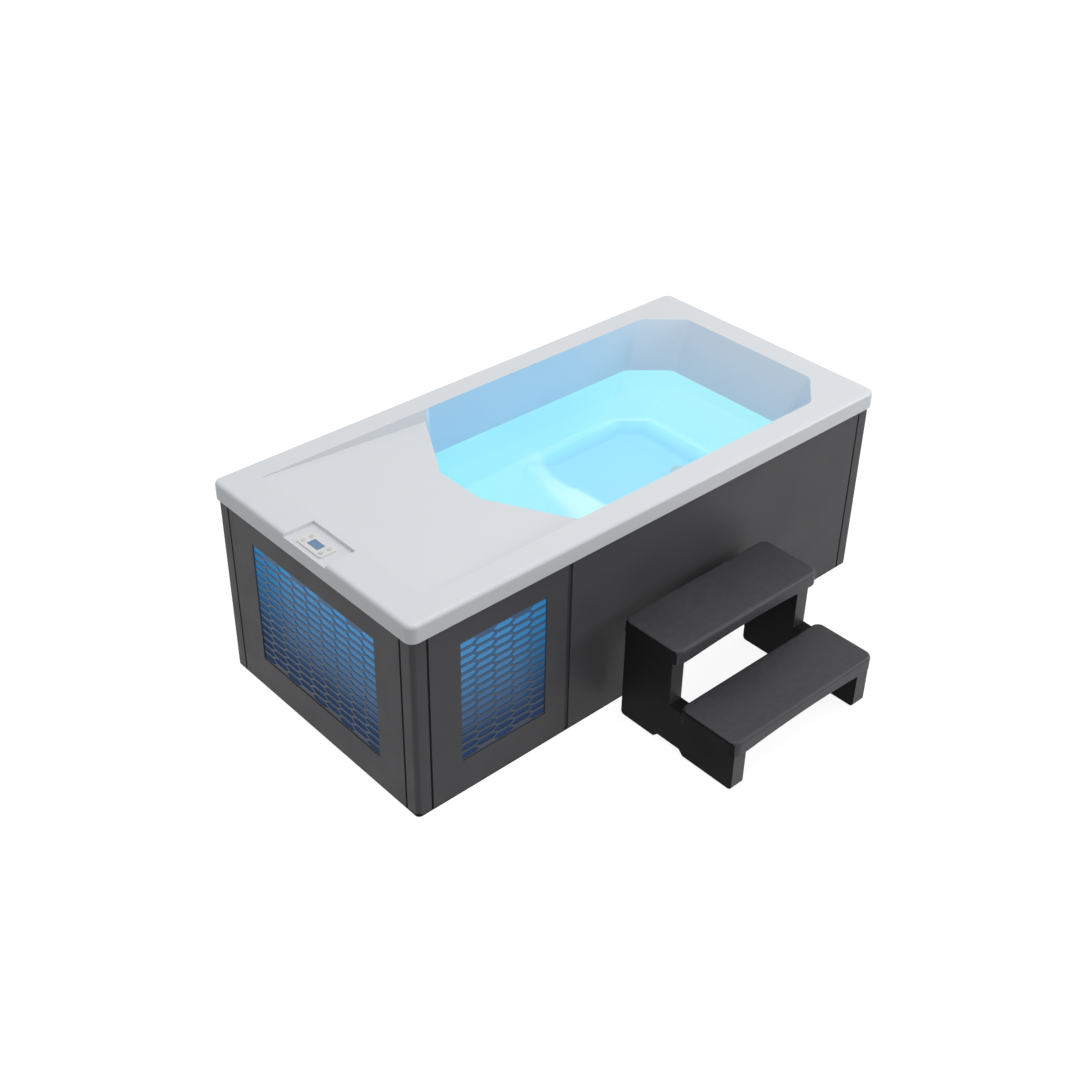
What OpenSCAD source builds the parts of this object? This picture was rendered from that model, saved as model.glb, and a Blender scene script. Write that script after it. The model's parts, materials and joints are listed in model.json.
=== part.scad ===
// Cold plunge tub with a chiller bay at one end and a two-tread step unit beside it.
// Millimetres. The origin is the centre of the tub's underside. +X points to the sloped back
// of the basin, +Z is up, and the steps stand on the -Y side.

/* [Tub] */
// Length over the rim
tub_l = 2040; // [1960:10:2300]
// Width over the rim
tub_w = 1000; // [960:10:1150]
// Height of the rim above the floor
tub_h = 730; // [700:5:800]

/* [Rim and shell] */
// Height of the rim's turned-down lip
lip_h = 62; // [50:1:75]
// Thickness of the lip
lip_t = 7; // [6:0.5:9]
// How far the rim stands out past the panels
rim_overhang = 10; // [10:0.5:20]
// Corner radius of the rim seen from above
rim_corner_r = 30; // [26:1:50]
// Radius along the rim's top outer edge
rim_edge_r = 14; // [6:1:18]
// Thickness of the moulded shell
shell_t = 8; // [6:0.5:9]
// Width of the rim beside the basin
rim_side_w = 92; // [90:1:110]
// Width of the rim at the foot end
rim_foot_w = 106; // [98:1:130]

/* [Deck] */
// Length of the rim and deck, from the outer end to the basin
deck_l = 590; // [570:5:640]
// Width of the raised rim band at the equipment end
deck_margin = 128; // [120:1:160]
// Depth of the sunk deck at its outer end
deck_step = 2; // [1:0.5:6]
// How far the deck falls from its outer end to the basin
deck_fall = 24; // [10:1:28]
// Lean of the deck's side walls, in degrees from upright
deck_lean = 27; // [5:1:35]

/* [Basin] */
// Width of the straight part of the basin's deck end
deck_end_flat = 200; // [190:5:260]
// Length of the slanted corners at the deck end
deck_corner_l = 180; // [150:5:200]
// Length of the slanted corners at the foot end
foot_corner_l = 132; // [90:2:160]
// Width of the slanted corners at the foot end
foot_corner_w = 115; // [80:1:140]
// Radius in the basin's upright corners
basin_corner_r = 40; // [20:1:60]
// Depth at which the basin's walls change slope
break_depth = 170; // [140:5:200]
// How far the back slopes in above that break
back_in_top = 96; // [60:2:110]
// How far the back slopes in at seat level
back_in_low = 190; // [170:2:210]
// How far the long walls come in at the break
wall_in_top = 24; // [10:1:30]
// How far the long walls come in at seat level
wall_in_low = 30; // [30:1:40]
// Height of the seat above the floor
seat_h = 235; // [200:5:270]
// Height of the footwell's floor
well_h = 125; // [115:1:140]
// Length of the seat
seat_l = 505; // [440:5:560]
// How far the seat's front slopes out to the footwell
seat_front = 170; // [60:5:200]
// Width of the ledge along the footwell
ledge_w = 38; // [30:1:60]
// Radius between the basin's walls and its bottom
basin_fillet = 20; // [10:1:26]

/* [Panels] */
// Thickness of the skirt panels
panel_t = 12; // [10:0.5:16]
// Width of each corner post's legs
post_leg = 52; // [50:1:75]
// Outer radius of the corner posts
post_r = 16; // [16:1:40]
// Width of the groove between post and panel
post_groove = 7.5; // [2:0.5:8]
// Length of the bay panels, from the cabinet's end to the seam
bay_l = 610; // [600:1:630]
// Width of the sunk strip at the seam
seam_w = 18; // [10:1:24]
// How deep the strip lies below the panels
seam_sink = 4; // [2:0.5:7]

/* [Grilles] */
// Width of the end grille's window
end_window_w = 620; // [400:10:660]
// Width of the side grilles' windows
side_window_w = 334; // [250:2:340]
// Distance from the cabinet's end to the side window
side_window_at = 174; // [160:2:182]
// Bottom of the windows above the floor
window_low = 125; // [100:1:180]
// Top of the windows above the floor
window_high = 580; // [500:1:600]
// Thickness of the grille sheet
grille_t = 3; // [2:0.5:5]
// Distance between columns of openings
mesh_pitch_x = 71; // [60:1:100]
// Distance between rows of openings
mesh_pitch_z = 30; // [26:1:40]
// Height of one opening
mesh_open_h = 20; // [14:1:22]
// Length of one opening between its points
mesh_open_l = 80; // [60:1:90]
// Length of an opening's pointed end
mesh_point = 16; // [10:1:20]

/* [Controls] */
// Width of the notch in the rim
notch_w = 210; // [180:2:260]
// Length of the notch from the outer end
notch_l = 110; // [95:1:116]
// Depth of the notch
notch_d = 12; // [9:0.5:14]
// Length of the keypad
keypad_l = 126; // [120:1:160]
// Width of the keypad
keypad_w = 62; // [56:1:76]
// Thickness of the keypad
keypad_t = 5; // [4:0.5:7]
// Length of the display
display_l = 52; // [44:1:60]
// Width of the display
display_w = 30; // [24:1:40]
// Radius of a push button
button_r = 7; // [5:0.5:8]
// Stroke of a push button
button_stroke = 1.2; // [0.8:0.1:1.5]

/* [Frame] */
// Side of the square frame tube
tube_s = 40; // [30:1:44]
// Wall of the frame tube
tube_wall = 3; // [2:0.5:4]
// Thickness of the base pan
pan_t = 6; // [4:0.5:8]
// Thickness of the board under the rim
board_t = 14; // [12:1:16]

/* [Plumbing] */
// Outer radius of the pipes
pipe_r = 24; // [18:1:25]
// Wall of the pipes
pipe_wall = 3; // [2:0.5:4]
// Bend radius of the pipes
pipe_bend = 38; // [36:1:40]
// Radius of the drain's hose tail
hose_r = 9.5; // [8:0.5:12]

/* [Steps] */
// Width of the step unit
step_w = 668; // [560:2:760]
// Rise of each step
step_rise = 197; // [180:1:200]
// Depth of the upper tread
tread_upper_d = 238; // [220:1:280]
// Depth of the lower tread
tread_lower_d = 236; // [200:1:260]
// Gap between the treads seen from above
tread_gap = 22; // [20:1:60]
// Distance from the rim to the step unit
step_off = 41; // [20:1:80]
// Distance from the tub's middle to the step unit's middle
step_x = 104; // [0:2:300]
// Thickness of the treads at their ends
tread_t = 52; // [36:1:56]
// Rise of the arch under each tread
tread_arch = 10; // [4:1:16]
// Width of the side mouldings
side_t = 56; // [36:1:60]
// How far the treads stand out past the side mouldings
tread_over = 10; // [4:1:24]
// Height of the rubber feet
foot_t = 4; // [2:0.5:6]
// Wall of the step unit's mouldings
step_wall = 5; // [4:0.5:8]
// Radius along the treads' top edges
tread_edge = 12; // [4:1:14]

/* [Hidden] */
$fn = 48;

// Clearances and overlaps
fit = 0.3;        // gap between pieces that only lie beside each other
run = 0.05;       // radial clearance of a turning fit
eps = 1;          // how far a cutter runs past the face that it opens

// Cabinet faces, measured from the middle
half_l = tub_l / 2;
half_w = tub_w / 2;
face_x = half_l - rim_overhang;
face_y = half_w - rim_overhang;
back_x = face_x - panel_t;
back_y = face_y - panel_t;
tube_x = back_x - tube_s;
tube_y = back_y - tube_s;
panel_top = tub_h - lip_h + 32;
rim_under = tub_h - shell_t;
frame_top = rim_under - board_t;
rail_low = frame_top - tube_s;
corner_seg = 8;   // straight pieces in each rounded corner
// The posts' corner radius, kept large enough to stay inside the lip's corner
post_corner_r = max(post_r, rim_corner_r - (sqrt(2) * rim_overhang - lip_t - 2 * fit) / (sqrt(2) - 1));

// Basin outline at the rim
open_x0 = -half_l + deck_l;
open_x1 = half_l - rim_foot_w;
open_y = half_w - rim_side_w;
deck_x0 = -half_l + deck_margin;
deck_x1 = open_x0 + deck_corner_l + basin_corner_r;
deck_slope = deck_fall / (open_x0 - deck_x0);
break_h = tub_h - break_depth;
well_x0 = open_x0 + seat_l;
well_y = open_y - wall_in_low - ledge_w;
well_x1 = open_x1 - back_in_low - ledge_w / 2;
well_draft = 20;
well_corner = 64;

function unit(v) = v / norm(v);
function at(pts, i) = pts[(i + len(pts)) % len(pts)];
function side(u) = [u[1], -u[0]];
// A closed outline moved outwards by d
function grow(pts, d) = [
    for (i = [0 : len(pts) - 1])
        let (b = pts[i], u = side(unit(b - at(pts, i - 1))), w = side(unit(at(pts, i + 1) - b)))
            b + d * (u + w) / (1 + u * w)
];
// A closed outline with every corner turned into an arc
function rounded(pts, r, k) = [
    for (i = [0 : len(pts) - 1])
        let (
            b = pts[i], u = unit(at(pts, i - 1) - b), w = unit(at(pts, i + 1) - b),
            half = acos(u * w) / 2, c = b + unit(u + w) * r / sin(half),
            s = b + u * r / tan(half) - c, a0 = atan2(s[1], s[0])
        )
            for (j = [0 : k])
                let (a = a0 + (180 - 2 * half) * j / k) c + r * [cos(a), sin(a)]
];
function lift(pts, z) = [for (p = pts) [p[0], p[1], z]];
// Height of the sunk deck at a distance along the tub
function deck_z(x) = tub_h - deck_step - deck_slope * (x - deck_x0);
function rectangle(hx, hy) = [[hx, -hy], [hx, hy], [-hx, hy], [-hx, -hy]];
// Eight-sided outline with its own slanted corners at each end
function octagon(x0, x1, y, dl, dw, fl, fw) = [
    [x1, fw - y], [x1, y - fw], [x1 - fl, y], [x0 + dl, y],
    [x0, y - dw], [x0, dw - y], [x0 + dl, -y], [x1 - fl, -y]
];
// Value that falls linearly from the rim to the break and on to the seat
function slope_at(z, top, mid, low) =
    z > break_h ? mid + (top - mid) * (z - break_h) / (tub_h - break_h)
                : low + (mid - low) * (z - seat_h) / (break_h - seat_h);
function basin_outline(z) = octagon(
    open_x0,
    open_x1 - slope_at(z, 0, back_in_top, back_in_low),
    open_y - slope_at(z, 0, wall_in_top, wall_in_low),
    deck_corner_l, open_y - slope_at(z, 0, wall_in_top, wall_in_low) - deck_end_flat / 2,
    foot_corner_l, foot_corner_w
);
function well_outline(z) = let (low = (seat_h - z) / (seat_h - well_h)) octagon(
    well_x0 + seat_front * low, well_x1 - well_draft * low, well_y - well_draft / 4 * low,
    well_corner, well_corner, well_corner, well_corner
);

// Solid through a list of rings with as many points each, bottom ring first
module loft(rings) {
    n = len(rings[0]);
    m = len(rings);
    polyhedron(
        points = [for (r = rings) for (p = r) p],
        faces = concat(
            [[for (i = [0 : n - 1]) i]],
            [for (k = [0 : m - 2]) for (i = [0 : n - 1])
                let (j = (i + 1) % n) [k * n + i, (k + 1) * n + i, (k + 1) * n + j]],
            [for (k = [0 : m - 2]) for (i = [0 : n - 1])
                let (j = (i + 1) % n) [k * n + i, (k + 1) * n + j, k * n + j]],
            [[for (i = [n - 1 : -1 : 0]) (m - 1) * n + i]]
        )
    );
}

// Basin-shaped solid: the hollow at d = 0, its outside at d = shell_t
module basin_solid(d, top) {
    r = basin_fillet;
    loft(concat(
        [for (a = [90 : -22.5 : 0])
            let (z = seat_h + r * (1 - sin(a)))
                lift(rounded(grow(basin_outline(z), d - r * (1 - cos(a))), basin_corner_r, corner_seg),
                     z - d * sin(a))],
        [for (z = [break_h, top])
            lift(rounded(grow(basin_outline(z), d), basin_corner_r, corner_seg), z)]
    ));
}
module well_solid(d, top) {
    r = basin_fillet;
    loft(concat(
        [for (a = [90 : -22.5 : 0])
            let (z = well_h + r * (1 - sin(a)))
                lift(rounded(grow(well_outline(z), d - r * (1 - cos(a))), basin_corner_r, corner_seg),
                     z - d * sin(a))],
        [lift(rounded(grow(well_outline(top), d), basin_corner_r, corner_seg), top)]
    ));
}

// Box between two ranges on each axis
module block(x, y, z) {
    translate([x[0], y[0], z[0]]) cube([x[1] - x[0], y[1] - y[0], z[1] - z[0]]);
}
module mirrored_y() {
    children();
    mirror([0, 1, 0]) children();
}
// Cylinder along X between two stations
module round_x(x0, x1, r) {
    translate([x0, 0, 0]) rotate([0, 90, 0]) cylinder(r = r, h = x1 - x0);
}
module ring_x(x0, x1, r, bore) {
    difference() {
        round_x(x0, x1, r);
        round_x(x0 - eps, x1 + eps, bore);
    }
}
// Square tube between two opposite corners, hollow along the axis given
module square_tube(x, y, z, axis) {
    w = tube_wall;
    g = [for (i = [0 : 2]) i == axis ? -eps : w];
    difference() {
        block(x, y, z);
        block([x[0] + g[0], x[1] - g[0]], [y[0] + g[1], y[1] - g[1]], [z[0] + g[2], z[1] - g[2]]);
    }
}
// Solid rod along a route with square turns
module run_solid(p, r, bend) {
    n = len(p);
    for (i = [0 : n - 2]) {
        u = unit(p[i + 1] - p[i]);
        a = p[i] + u * (i == 0 ? 0 : bend);
        b = p[i + 1] - u * (i == n - 2 ? 0 : bend);
        rod(a, b, r);
    }
    for (i = [1 : 1 : n - 2]) {
        u = unit(p[i] - p[i - 1]);
        w = unit(p[i + 1] - p[i]);
        c = p[i] - u * bend + w * bend;
        q = cross(u, w);
        multmatrix([
            [-w[0], u[0], q[0], c[0]], [-w[1], u[1], q[1], c[1]],
            [-w[2], u[2], q[2], c[2]], [0, 0, 0, 1]
        ])
            rotate_extrude(angle = 90) translate([bend, 0]) circle(r = r);
    }
}
// Straight rod from a to b along one of the axes
module rod(a, b, r) {
    u = unit(b - a);
    turn = abs(u[2]) > 0.5 ? [u[2] > 0 ? 0 : 180, 0, 0]
         : abs(u[0]) > 0.5 ? [0, u[0] > 0 ? 90 : -90, 0]
         : [u[1] > 0 ? -90 : 90, 0, 0];
    translate(a) rotate(turn) cylinder(r = r, h = norm(b - a));
}
// Hollow pipe along such a route, open at both ends
module hollow_run(p, r) {
    n = len(p);
    start = p[0] - unit(p[1] - p[0]) * eps;
    end = p[n - 1] + unit(p[n - 1] - p[n - 2]) * eps;
    difference() {
        run_solid(p, r, pipe_bend);
        run_solid([for (i = [0 : n - 1]) i == 0 ? start : i == n - 1 ? end : p[i]], r - pipe_wall, pipe_bend);
    }
}

// Where the basin's fittings pass through its deck-end wall
fitting_z = 330;
light_z = 480;
fitting_r = 26;
flange_r = 32;
flange_t = 6;
fitting_y = deck_end_flat / 2 - 14 - flange_r;
nut_t = 10;
light_r = 36;
light_body_r = 30;
foam_x0 = open_x0 - shell_t - 18;
foam_x1 = open_x1 + 30;
foam_y = tube_y - 5;
foam_top = deck_z(deck_x1) - shell_t - 6;
foam_low = well_h - shell_t;
fitting_back = foam_x0 - nut_t - 4;

// Drain
drain_x = well_x1 - 90;
drain_z = 60;
drain_r = 22;
drain_hole_r = 24;
drain_tail = 12;

module wall_bores(grown) {
    for (y = [-fitting_y, fitting_y])
        translate([0, y, fitting_z])
            round_x(foam_x0 - eps, open_x0 + basin_corner_r, fitting_r + grown);
    translate([0, 0, light_z])
        round_x(foam_x0 - eps, open_x0 + basin_corner_r, light_body_r + grown);
}

// Body that the sunk deck is cut from: its floor and the backs of its leaning sides
module deck_body() {
    t = shell_t;
    rotate([90, 0, 0]) linear_extrude(2 * (open_y + t), center = true)
        polygon([[deck_x0 - t, deck_z(deck_x0) - t], [deck_x1 + t, deck_z(deck_x1) - t],
                 [deck_x1 + t, tub_h - t / 2], [deck_x0 - t, tub_h - t / 2]]);
}
// Everything above that deck, between its leaning sides and end
module deck_hollow() {
    lean = tan(deck_lean);
    x0 = deck_x0 + deck_step * lean;
    z0 = tub_h - deck_step;
    z1 = deck_z(deck_x1);
    w0 = open_y - (tub_h - z0) * lean;
    w1 = open_y - (tub_h - z1) * lean;
    w = open_y + eps * lean;
    loft([
        [[deck_x1, -w1, z1], [deck_x1, w1, z1], [x0, w0, z0], [x0, -w0, z0]],
        lift([[deck_x1, -w], [deck_x1, w], [deck_x0 - eps * lean, w], [deck_x0 - eps * lean, -w]],
             tub_h + eps)
    ]);
}

module tub_shell() {
    color("gainsboro") difference() {
        union() {
            difference() {
                rim_block();
                translate([0, 0, tub_h - lip_h - eps])
                    linear_extrude(lip_h - shell_t + eps)
                        polygon(rounded(rectangle(half_l - lip_t, half_w - lip_t),
                                        rim_corner_r - lip_t, corner_seg));
            }
            deck_body();
            block([-half_l + lip_t / 2, -half_l + notch_l + shell_t],
                  [-notch_w / 2 - shell_t, notch_w / 2 + shell_t],
                  [tub_h - notch_d - shell_t / 2, tub_h - shell_t / 2]);
            basin_solid(shell_t, rim_under + shell_t / 2);
            well_solid(shell_t, seat_h - shell_t / 2);
        }
        basin_solid(0, tub_h + eps);
        well_solid(0, seat_h + eps);
        deck_hollow();
        block([-half_l - eps, -half_l + notch_l], [-notch_w / 2, notch_w / 2],
              [tub_h - notch_d, tub_h + eps]);
        wall_bores(0);
        translate([drain_x, 0, well_h - shell_t - eps]) cylinder(r = drain_hole_r, h = shell_t + 2 * eps);
    }
}
module rim_block() {
    r = rim_edge_r;
    loft(concat(
        [lift(rounded(rectangle(half_l, half_w), rim_corner_r, corner_seg), tub_h - lip_h)],
        [for (a = [0 : 22.5 : 90])
            let (d = r * (1 - cos(a)))
                lift(rounded(rectangle(half_l - d, half_w - d), rim_corner_r - d, corner_seg),
                     tub_h - r * (1 - sin(a)))]
    ));
}

module foam_jacket() {
    color("wheat") difference() {
        block([foam_x0, foam_x1], [-foam_y, foam_y], [foam_low, foam_top]);
        basin_solid(shell_t + fit, tub_h);
        well_solid(shell_t + fit, seat_h);
        wall_bores(fit);
    }
}

module base_pan() {
    color("#2c2c2e") linear_extrude(pan_t)
        polygon(rounded(rectangle(face_x - fit, face_y - fit), post_corner_r, corner_seg));
}

seam_x0 = -face_x + bay_l - seam_w;
side_x0 = -face_x + bay_l;
beam_w = 60;
beam_first = (seam_x0 + side_x0 + tube_s + beam_w) / 2 + 10;
beam_last = drain_x - drain_hole_r - beam_w / 2 - 41;
beam_x = [for (k = [0 : 4]) beam_first + k * (beam_last - beam_first) / 4];
upright_x = [-back_x, (seam_x0 + side_x0 - tube_s) / 2, (beam_x[2] + beam_x[3] - tube_s) / 2, tube_x];
cross_x = foam_x0 - 10 - tube_s;
cross_z = rail_low - 12;

module lower_frame() {
    z = [pan_t, pan_t + tube_s];
    color("#3a3d40") difference() {
        union() {
            for (y = [-back_y, tube_y]) square_tube([-back_x, back_x], [y, y + tube_s], z, 0);
            for (x = upright_x) square_tube([x, x + tube_s], [-tube_y, tube_y], z, 1);
        }
        screw_places() rotate([-90, 0, 0]) translate([0, 0, panel_t - eps])
            cylinder(r = screw_r, h = tube_wall + 2 * eps);
    }
}
module upper_frame() {
    z = [rail_low, frame_top];
    color("#3a3d40") {
        for (y = [-back_y, tube_y]) square_tube([-back_x, back_x], [y, y + tube_s], z, 0);
        for (x = [-back_x, tube_x]) square_tube([x, x + tube_s], [-tube_y, tube_y], z, 1);
    }
}
module frame_uprights() {
    color("#3a3d40") {
        for (x = upright_x) for (y = [-back_y, tube_y])
            square_tube([x, x + tube_s], [y, y + tube_s], [pan_t + tube_s, rail_low], 2);
        square_tube([cross_x, cross_x + tube_s], [-tube_y, tube_y], [cross_z, cross_z + tube_s], 1);
    }
}
module rim_board() {
    outer = 2;
    color("tan") difference() {
        block([-half_l + lip_t + outer, half_l - lip_t - outer],
              [-half_w + lip_t + outer, half_w - lip_t - outer], [frame_top, rim_under]);
        block([-half_l + 75, open_x1 + 22], [-open_y - 18, open_y + 18],
              [frame_top - eps, rim_under + eps]);
        block([-half_l, -half_l + 76], [-notch_w / 2 - shell_t - 4, notch_w / 2 + shell_t + 4],
              [frame_top - eps, rim_under + eps]);
        for (x = [-1, 1]) for (y = [-1, 1])
            translate([x * (half_l - lip_t), y * (half_w - lip_t), frame_top - eps])
                rotate(45) cube([rim_corner_r, rim_corner_r, 4 * board_t], center = true);
    }
}
module cradle_beams() {
    color("tan") for (x = beam_x)
        block([x - beam_w / 2, x + beam_w / 2], [-foam_y, foam_y], [pan_t, foam_low]);
}

// Panels. Each has a thin tongue behind the grooves at its ends.
tongue_t = 4;
panel_low = pan_t;
screw_r = 2.5;
screw_head_r = 5;
screw_head_t = 3;
screw_z = pan_t + tube_s / 2;
screw_end = 9;

// Panel in the XZ plane with its outer face at y = 0 and its back at y = panel_t
module panel(x0, x1, tongue0, tongue1, screws) {
    difference() {
        union() {
            block([x0, x1], [0, panel_t], [panel_low, panel_top]);
            block([x0 - tongue0, x1 + tongue1], [panel_t - tongue_t, panel_t], [panel_low, panel_top]);
        }
        for (x = screws) translate([x, 0, screw_z]) rotate([-90, 0, 0]) {
            translate([0, 0, -eps]) cylinder(r = screw_r, h = panel_t + 2 * eps);
            translate([0, 0, -eps]) cylinder(r = screw_head_r, h = screw_head_t + eps);
        }
    }
}
// Window through a panel with a wider pocket behind for the grille
module window(x0, x1) {
    rim = 12;
    block([x0, x1], [-eps, panel_t + eps], [window_low, window_high]);
    block([x0 - rim, x1 + rim], [grille_t, panel_t + eps], [window_low - rim, window_high + rim]);
}
// Grille sheet in the same plane, with its openings cut by the window's edge
module grille_sheet(x0, x1) {
    rim = 12 - fit;
    mid = (x0 + x1) / 2;
    mz = (window_low + window_high) / 2;
    nx = ceil((x1 - x0) / 2 / mesh_pitch_x);
    nz = ceil((window_high - window_low) / 2 / mesh_pitch_z);
    h = mesh_open_h / 2;
    l = mesh_open_l / 2;
    difference() {
        block([x0 - rim, x1 + rim], [grille_t, 2 * grille_t], [window_low - rim, window_high + rim]);
        for (i = [-nx : nx]) for (k = [-nz : nz]) {
            cx = mid + i * mesh_pitch_x;
            cz = mz + (k + (i % 2 == 0 ? 0 : 0.5)) * mesh_pitch_z;
            a = max(cx - l, x0 + 1);
            b = min(cx + l, x1 - 1);
            if (b - a > mesh_point && cz - h > window_low && cz + h < window_high)
                translate([0, 3 * grille_t, 0]) rotate([90, 0, 0]) linear_extrude(3 * grille_t)
                    polygon([
                        [a, cz + (a > cx - l ? h : 0)], [max(a, cx - l + mesh_point), cz + h],
                        [min(b, cx + l - mesh_point), cz + h], [b, cz + (b < cx + l ? h : 0)],
                        [b, cz - (b < cx + l ? h : 0)], [min(b, cx + l - mesh_point), cz - h],
                        [max(a, cx - l + mesh_point), cz - h], [a, cz - (a > cx - l ? h : 0)]
                    ]);
        }
    }
}

bay_x0 = -face_x + post_leg + post_groove;
bay_x1 = seam_x0;
side_x1 = face_x - post_leg - post_groove;
win_x0 = -face_x + side_window_at;
win_x1 = win_x0 + side_window_w;
bay_screws = [bay_x0 + 30, bay_x1 - 30];
side_screws = [side_x0 + 30, (side_x0 + side_x1) / 2, side_x1 - 30];
end_y = face_y - post_leg - post_groove;
end_screws = [-end_y + 30, end_y - 30];

module near_side() { translate([0, -face_y, 0]) children(); }
module far_side() { mirror([0, 1, 0]) translate([0, -face_y, 0]) children(); }
// The end panels are drawn along X too, and turned onto the cabinet's ends
module service_end() { rotate(-90) translate([0, -face_x, 0]) children(); }
module foot_end() { rotate(90) translate([0, -face_x, 0]) children(); }

module side_panel_near() {
    color("#4a4a4c") near_side() panel(side_x0, side_x1, 0, post_groove, side_screws);
}
module side_panel_far() {
    color("#4a4a4c") far_side() panel(side_x0, side_x1, 0, post_groove, side_screws);
}
module bay_panel() {
    difference() {
        panel(bay_x0, bay_x1, post_groove, 0, bay_screws);
        window(win_x0, win_x1);
    }
}
gland_x = -face_x + 110;
gland_z = 100;
gland_r = 10;
gland_hex_r = 15;
gland_hex_t = 6;
gland_out = rim_overhang - 2;
module bay_panel_near() { color("#4a4a4c") near_side() bay_panel(); }
module bay_panel_far() {
    color("#4a4a4c") far_side() difference() {
        bay_panel();
        translate([gland_x, -eps, gland_z]) rotate([-90, 0, 0])
            cylinder(r = gland_r, h = panel_t + 2 * eps);
    }
}
module service_end_panel() {
    color("#4a4a4c") service_end() difference() {
        panel(-end_y, end_y, post_groove, post_groove, end_screws);
        window(-end_window_w / 2, end_window_w / 2);
    }
}
hatch_w = 150;
hatch_low = pan_t + tube_s;
hatch_high = 150;
module foot_end_panel() {
    color("#4a4a4c") foot_end() difference() {
        panel(-end_y, end_y, post_groove, post_groove, end_screws);
        block([-hatch_w / 2, hatch_w / 2], [-eps, panel_t + eps], [hatch_low, hatch_high]);
    }
}

function post_outline() = let (a = post_leg, t = panel_t, r = post_corner_r) concat(
    [[a, 0], [a, t], [t, t], [t, a], [0, a]],
    [for (j = [0 : 10]) let (q = 180 + 90 * j / 10) [r + r * cos(q), r + r * sin(q)]]
);
module corner_post() {
    toe = 9;
    difference() {
        translate([0, 0, panel_low]) linear_extrude(panel_top - panel_low) polygon(post_outline());
        translate([0, 0, panel_low]) rotate([0, 0, 45]) translate([post_corner_r * (sqrt(2) - 1), 0, 0])
            rotate([0, 45, 0]) cube([toe, 4 * post_leg, toe], center = true);
    }
}
module post_at(i) {
    sx = i < 2 ? -1 : 1;
    sy = i % 2 == 0 ? -1 : 1;
    color("#444446") translate([sx * face_x, sy * face_y, 0])
        mirror([sx > 0 ? 1 : 0, 0, 0]) mirror([0, sy > 0 ? 1 : 0, 0]) corner_post();
}
module seam_strips() {
    color("#333335") mirrored_y() near_side()
        block([seam_x0, side_x0], [seam_sink, panel_t], [panel_low, panel_top]);
}
module screw() {
    head_z = 0.5;
    slot_w = 1.2;
    slot_l = 1.4 * screw_head_r;
    rotate([-90, 0, 0]) difference() {
        union() {
            translate([0, 0, head_z]) cylinder(r = screw_head_r - fit, h = screw_head_t - head_z);
            translate([0, 0, head_z]) cylinder(r = screw_r - fit / 2, h = panel_t + screw_end);
        }
        block([-slot_w / 2, slot_w / 2], [-slot_l / 2, slot_l / 2], [0, 2 * head_z + slot_w / 2]);
    }
}
module screw_places() {
    mirrored_y() near_side() for (x = concat(bay_screws, side_screws)) translate([x, 0, screw_z]) children();
    service_end() for (x = end_screws) translate([x, 0, screw_z]) children();
    foot_end() for (x = end_screws) translate([x, 0, screw_z]) children();
}
module panel_screws() {
    color("#202022") screw_places() screw();
}
module grille_end() { color("#33404c") service_end() grille_sheet(-end_window_w / 2, end_window_w / 2); }
module grille_near() { color("#33404c") near_side() grille_sheet(win_x0, win_x1); }
module grille_far() { color("#33404c") far_side() grille_sheet(win_x0, win_x1); }

// Translucent sheets on the inner faces of the frame, with a light strip near their tops. The
// lower edge of each turns out towards the window, which stiffens it and hides the base behind it
baffle_t = 4;
baffle_lip = 16;
baffle_z = [window_low - 45, rail_low + tube_s / 2];   // open below for the air
led_z = [window_high - 4, window_high + 12];
led_t = 5;
module baffle_edge(x) {
    block(x, [panel_t + tube_s - baffle_lip, panel_t + tube_s + baffle_t],
          [baffle_z[0], baffle_z[0] + baffle_t]);
}
module light_baffles() {
    color([0.35, 0.62, 0.86]) {
        service_end() baffle_edge([-tube_y + baffle_t + fit, tube_y - baffle_t - fit]);
        mirrored_y() near_side() baffle_edge([-tube_x + fit, upright_x[1] - fit]);
        service_end() block([-tube_y + baffle_t + fit, tube_y - baffle_t - fit],
                            [panel_t + tube_s, panel_t + tube_s + baffle_t], baffle_z);
        mirrored_y() near_side() difference() {
            block([-tube_x, upright_x[1] + tube_s],
                  [panel_t + tube_s, panel_t + tube_s + baffle_t], baffle_z);
            block([cross_x - fit, cross_x + tube_s + fit],
                  [panel_t + tube_s - eps, panel_t + tube_s + baffle_t + eps],
                  [cross_z - fit, baffle_z[1] + eps]);
        }
    }
}
module led_strips() {
    y = [panel_t + tube_s - led_t, panel_t + tube_s];
    color("deepskyblue") {
        service_end() block([-end_window_w / 2 + 10, end_window_w / 2 - 10], y, led_z);
        mirrored_y() near_side() block([win_x0 + 10, win_x1 - 10], y, led_z);
    }
}

// Controls in the notch
keypad_x = -half_l + keypad_w / 2 + 17;
keypad_y = 6;
keypad_z = tub_h - notch_d;
button_x = 15;
button_y = (display_l + keypad_l) / 4;
button_places = [[button_x, -button_y], [-button_x, -button_y], [button_x, button_y], [-button_x, button_y]];
button_high = 1.6;
button_fit = 0.3;
lens_t = 2;
module at_keypad() { translate([keypad_x, keypad_y, keypad_z]) children(); }
module control_panel() {
    color("#e8e6df") at_keypad() difference() {
        linear_extrude(keypad_t) polygon(rounded(rectangle(keypad_w / 2, keypad_l / 2), 10, 6));
        block([-display_w / 2 - button_fit, display_w / 2 + button_fit],
              [-display_l / 2 - button_fit, display_l / 2 + button_fit], [keypad_t - lens_t, keypad_t + eps]);
        for (p = button_places) translate([p[0], p[1], -eps])
            cylinder(r = button_r + button_fit, h = keypad_t + 2 * eps);
    }
}
module display_lens() {
    color("steelblue") at_keypad()
        block([-display_w / 2, display_w / 2], [-display_l / 2, display_l / 2],
              [keypad_t - lens_t, keypad_t + 0.3]);
}
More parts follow.
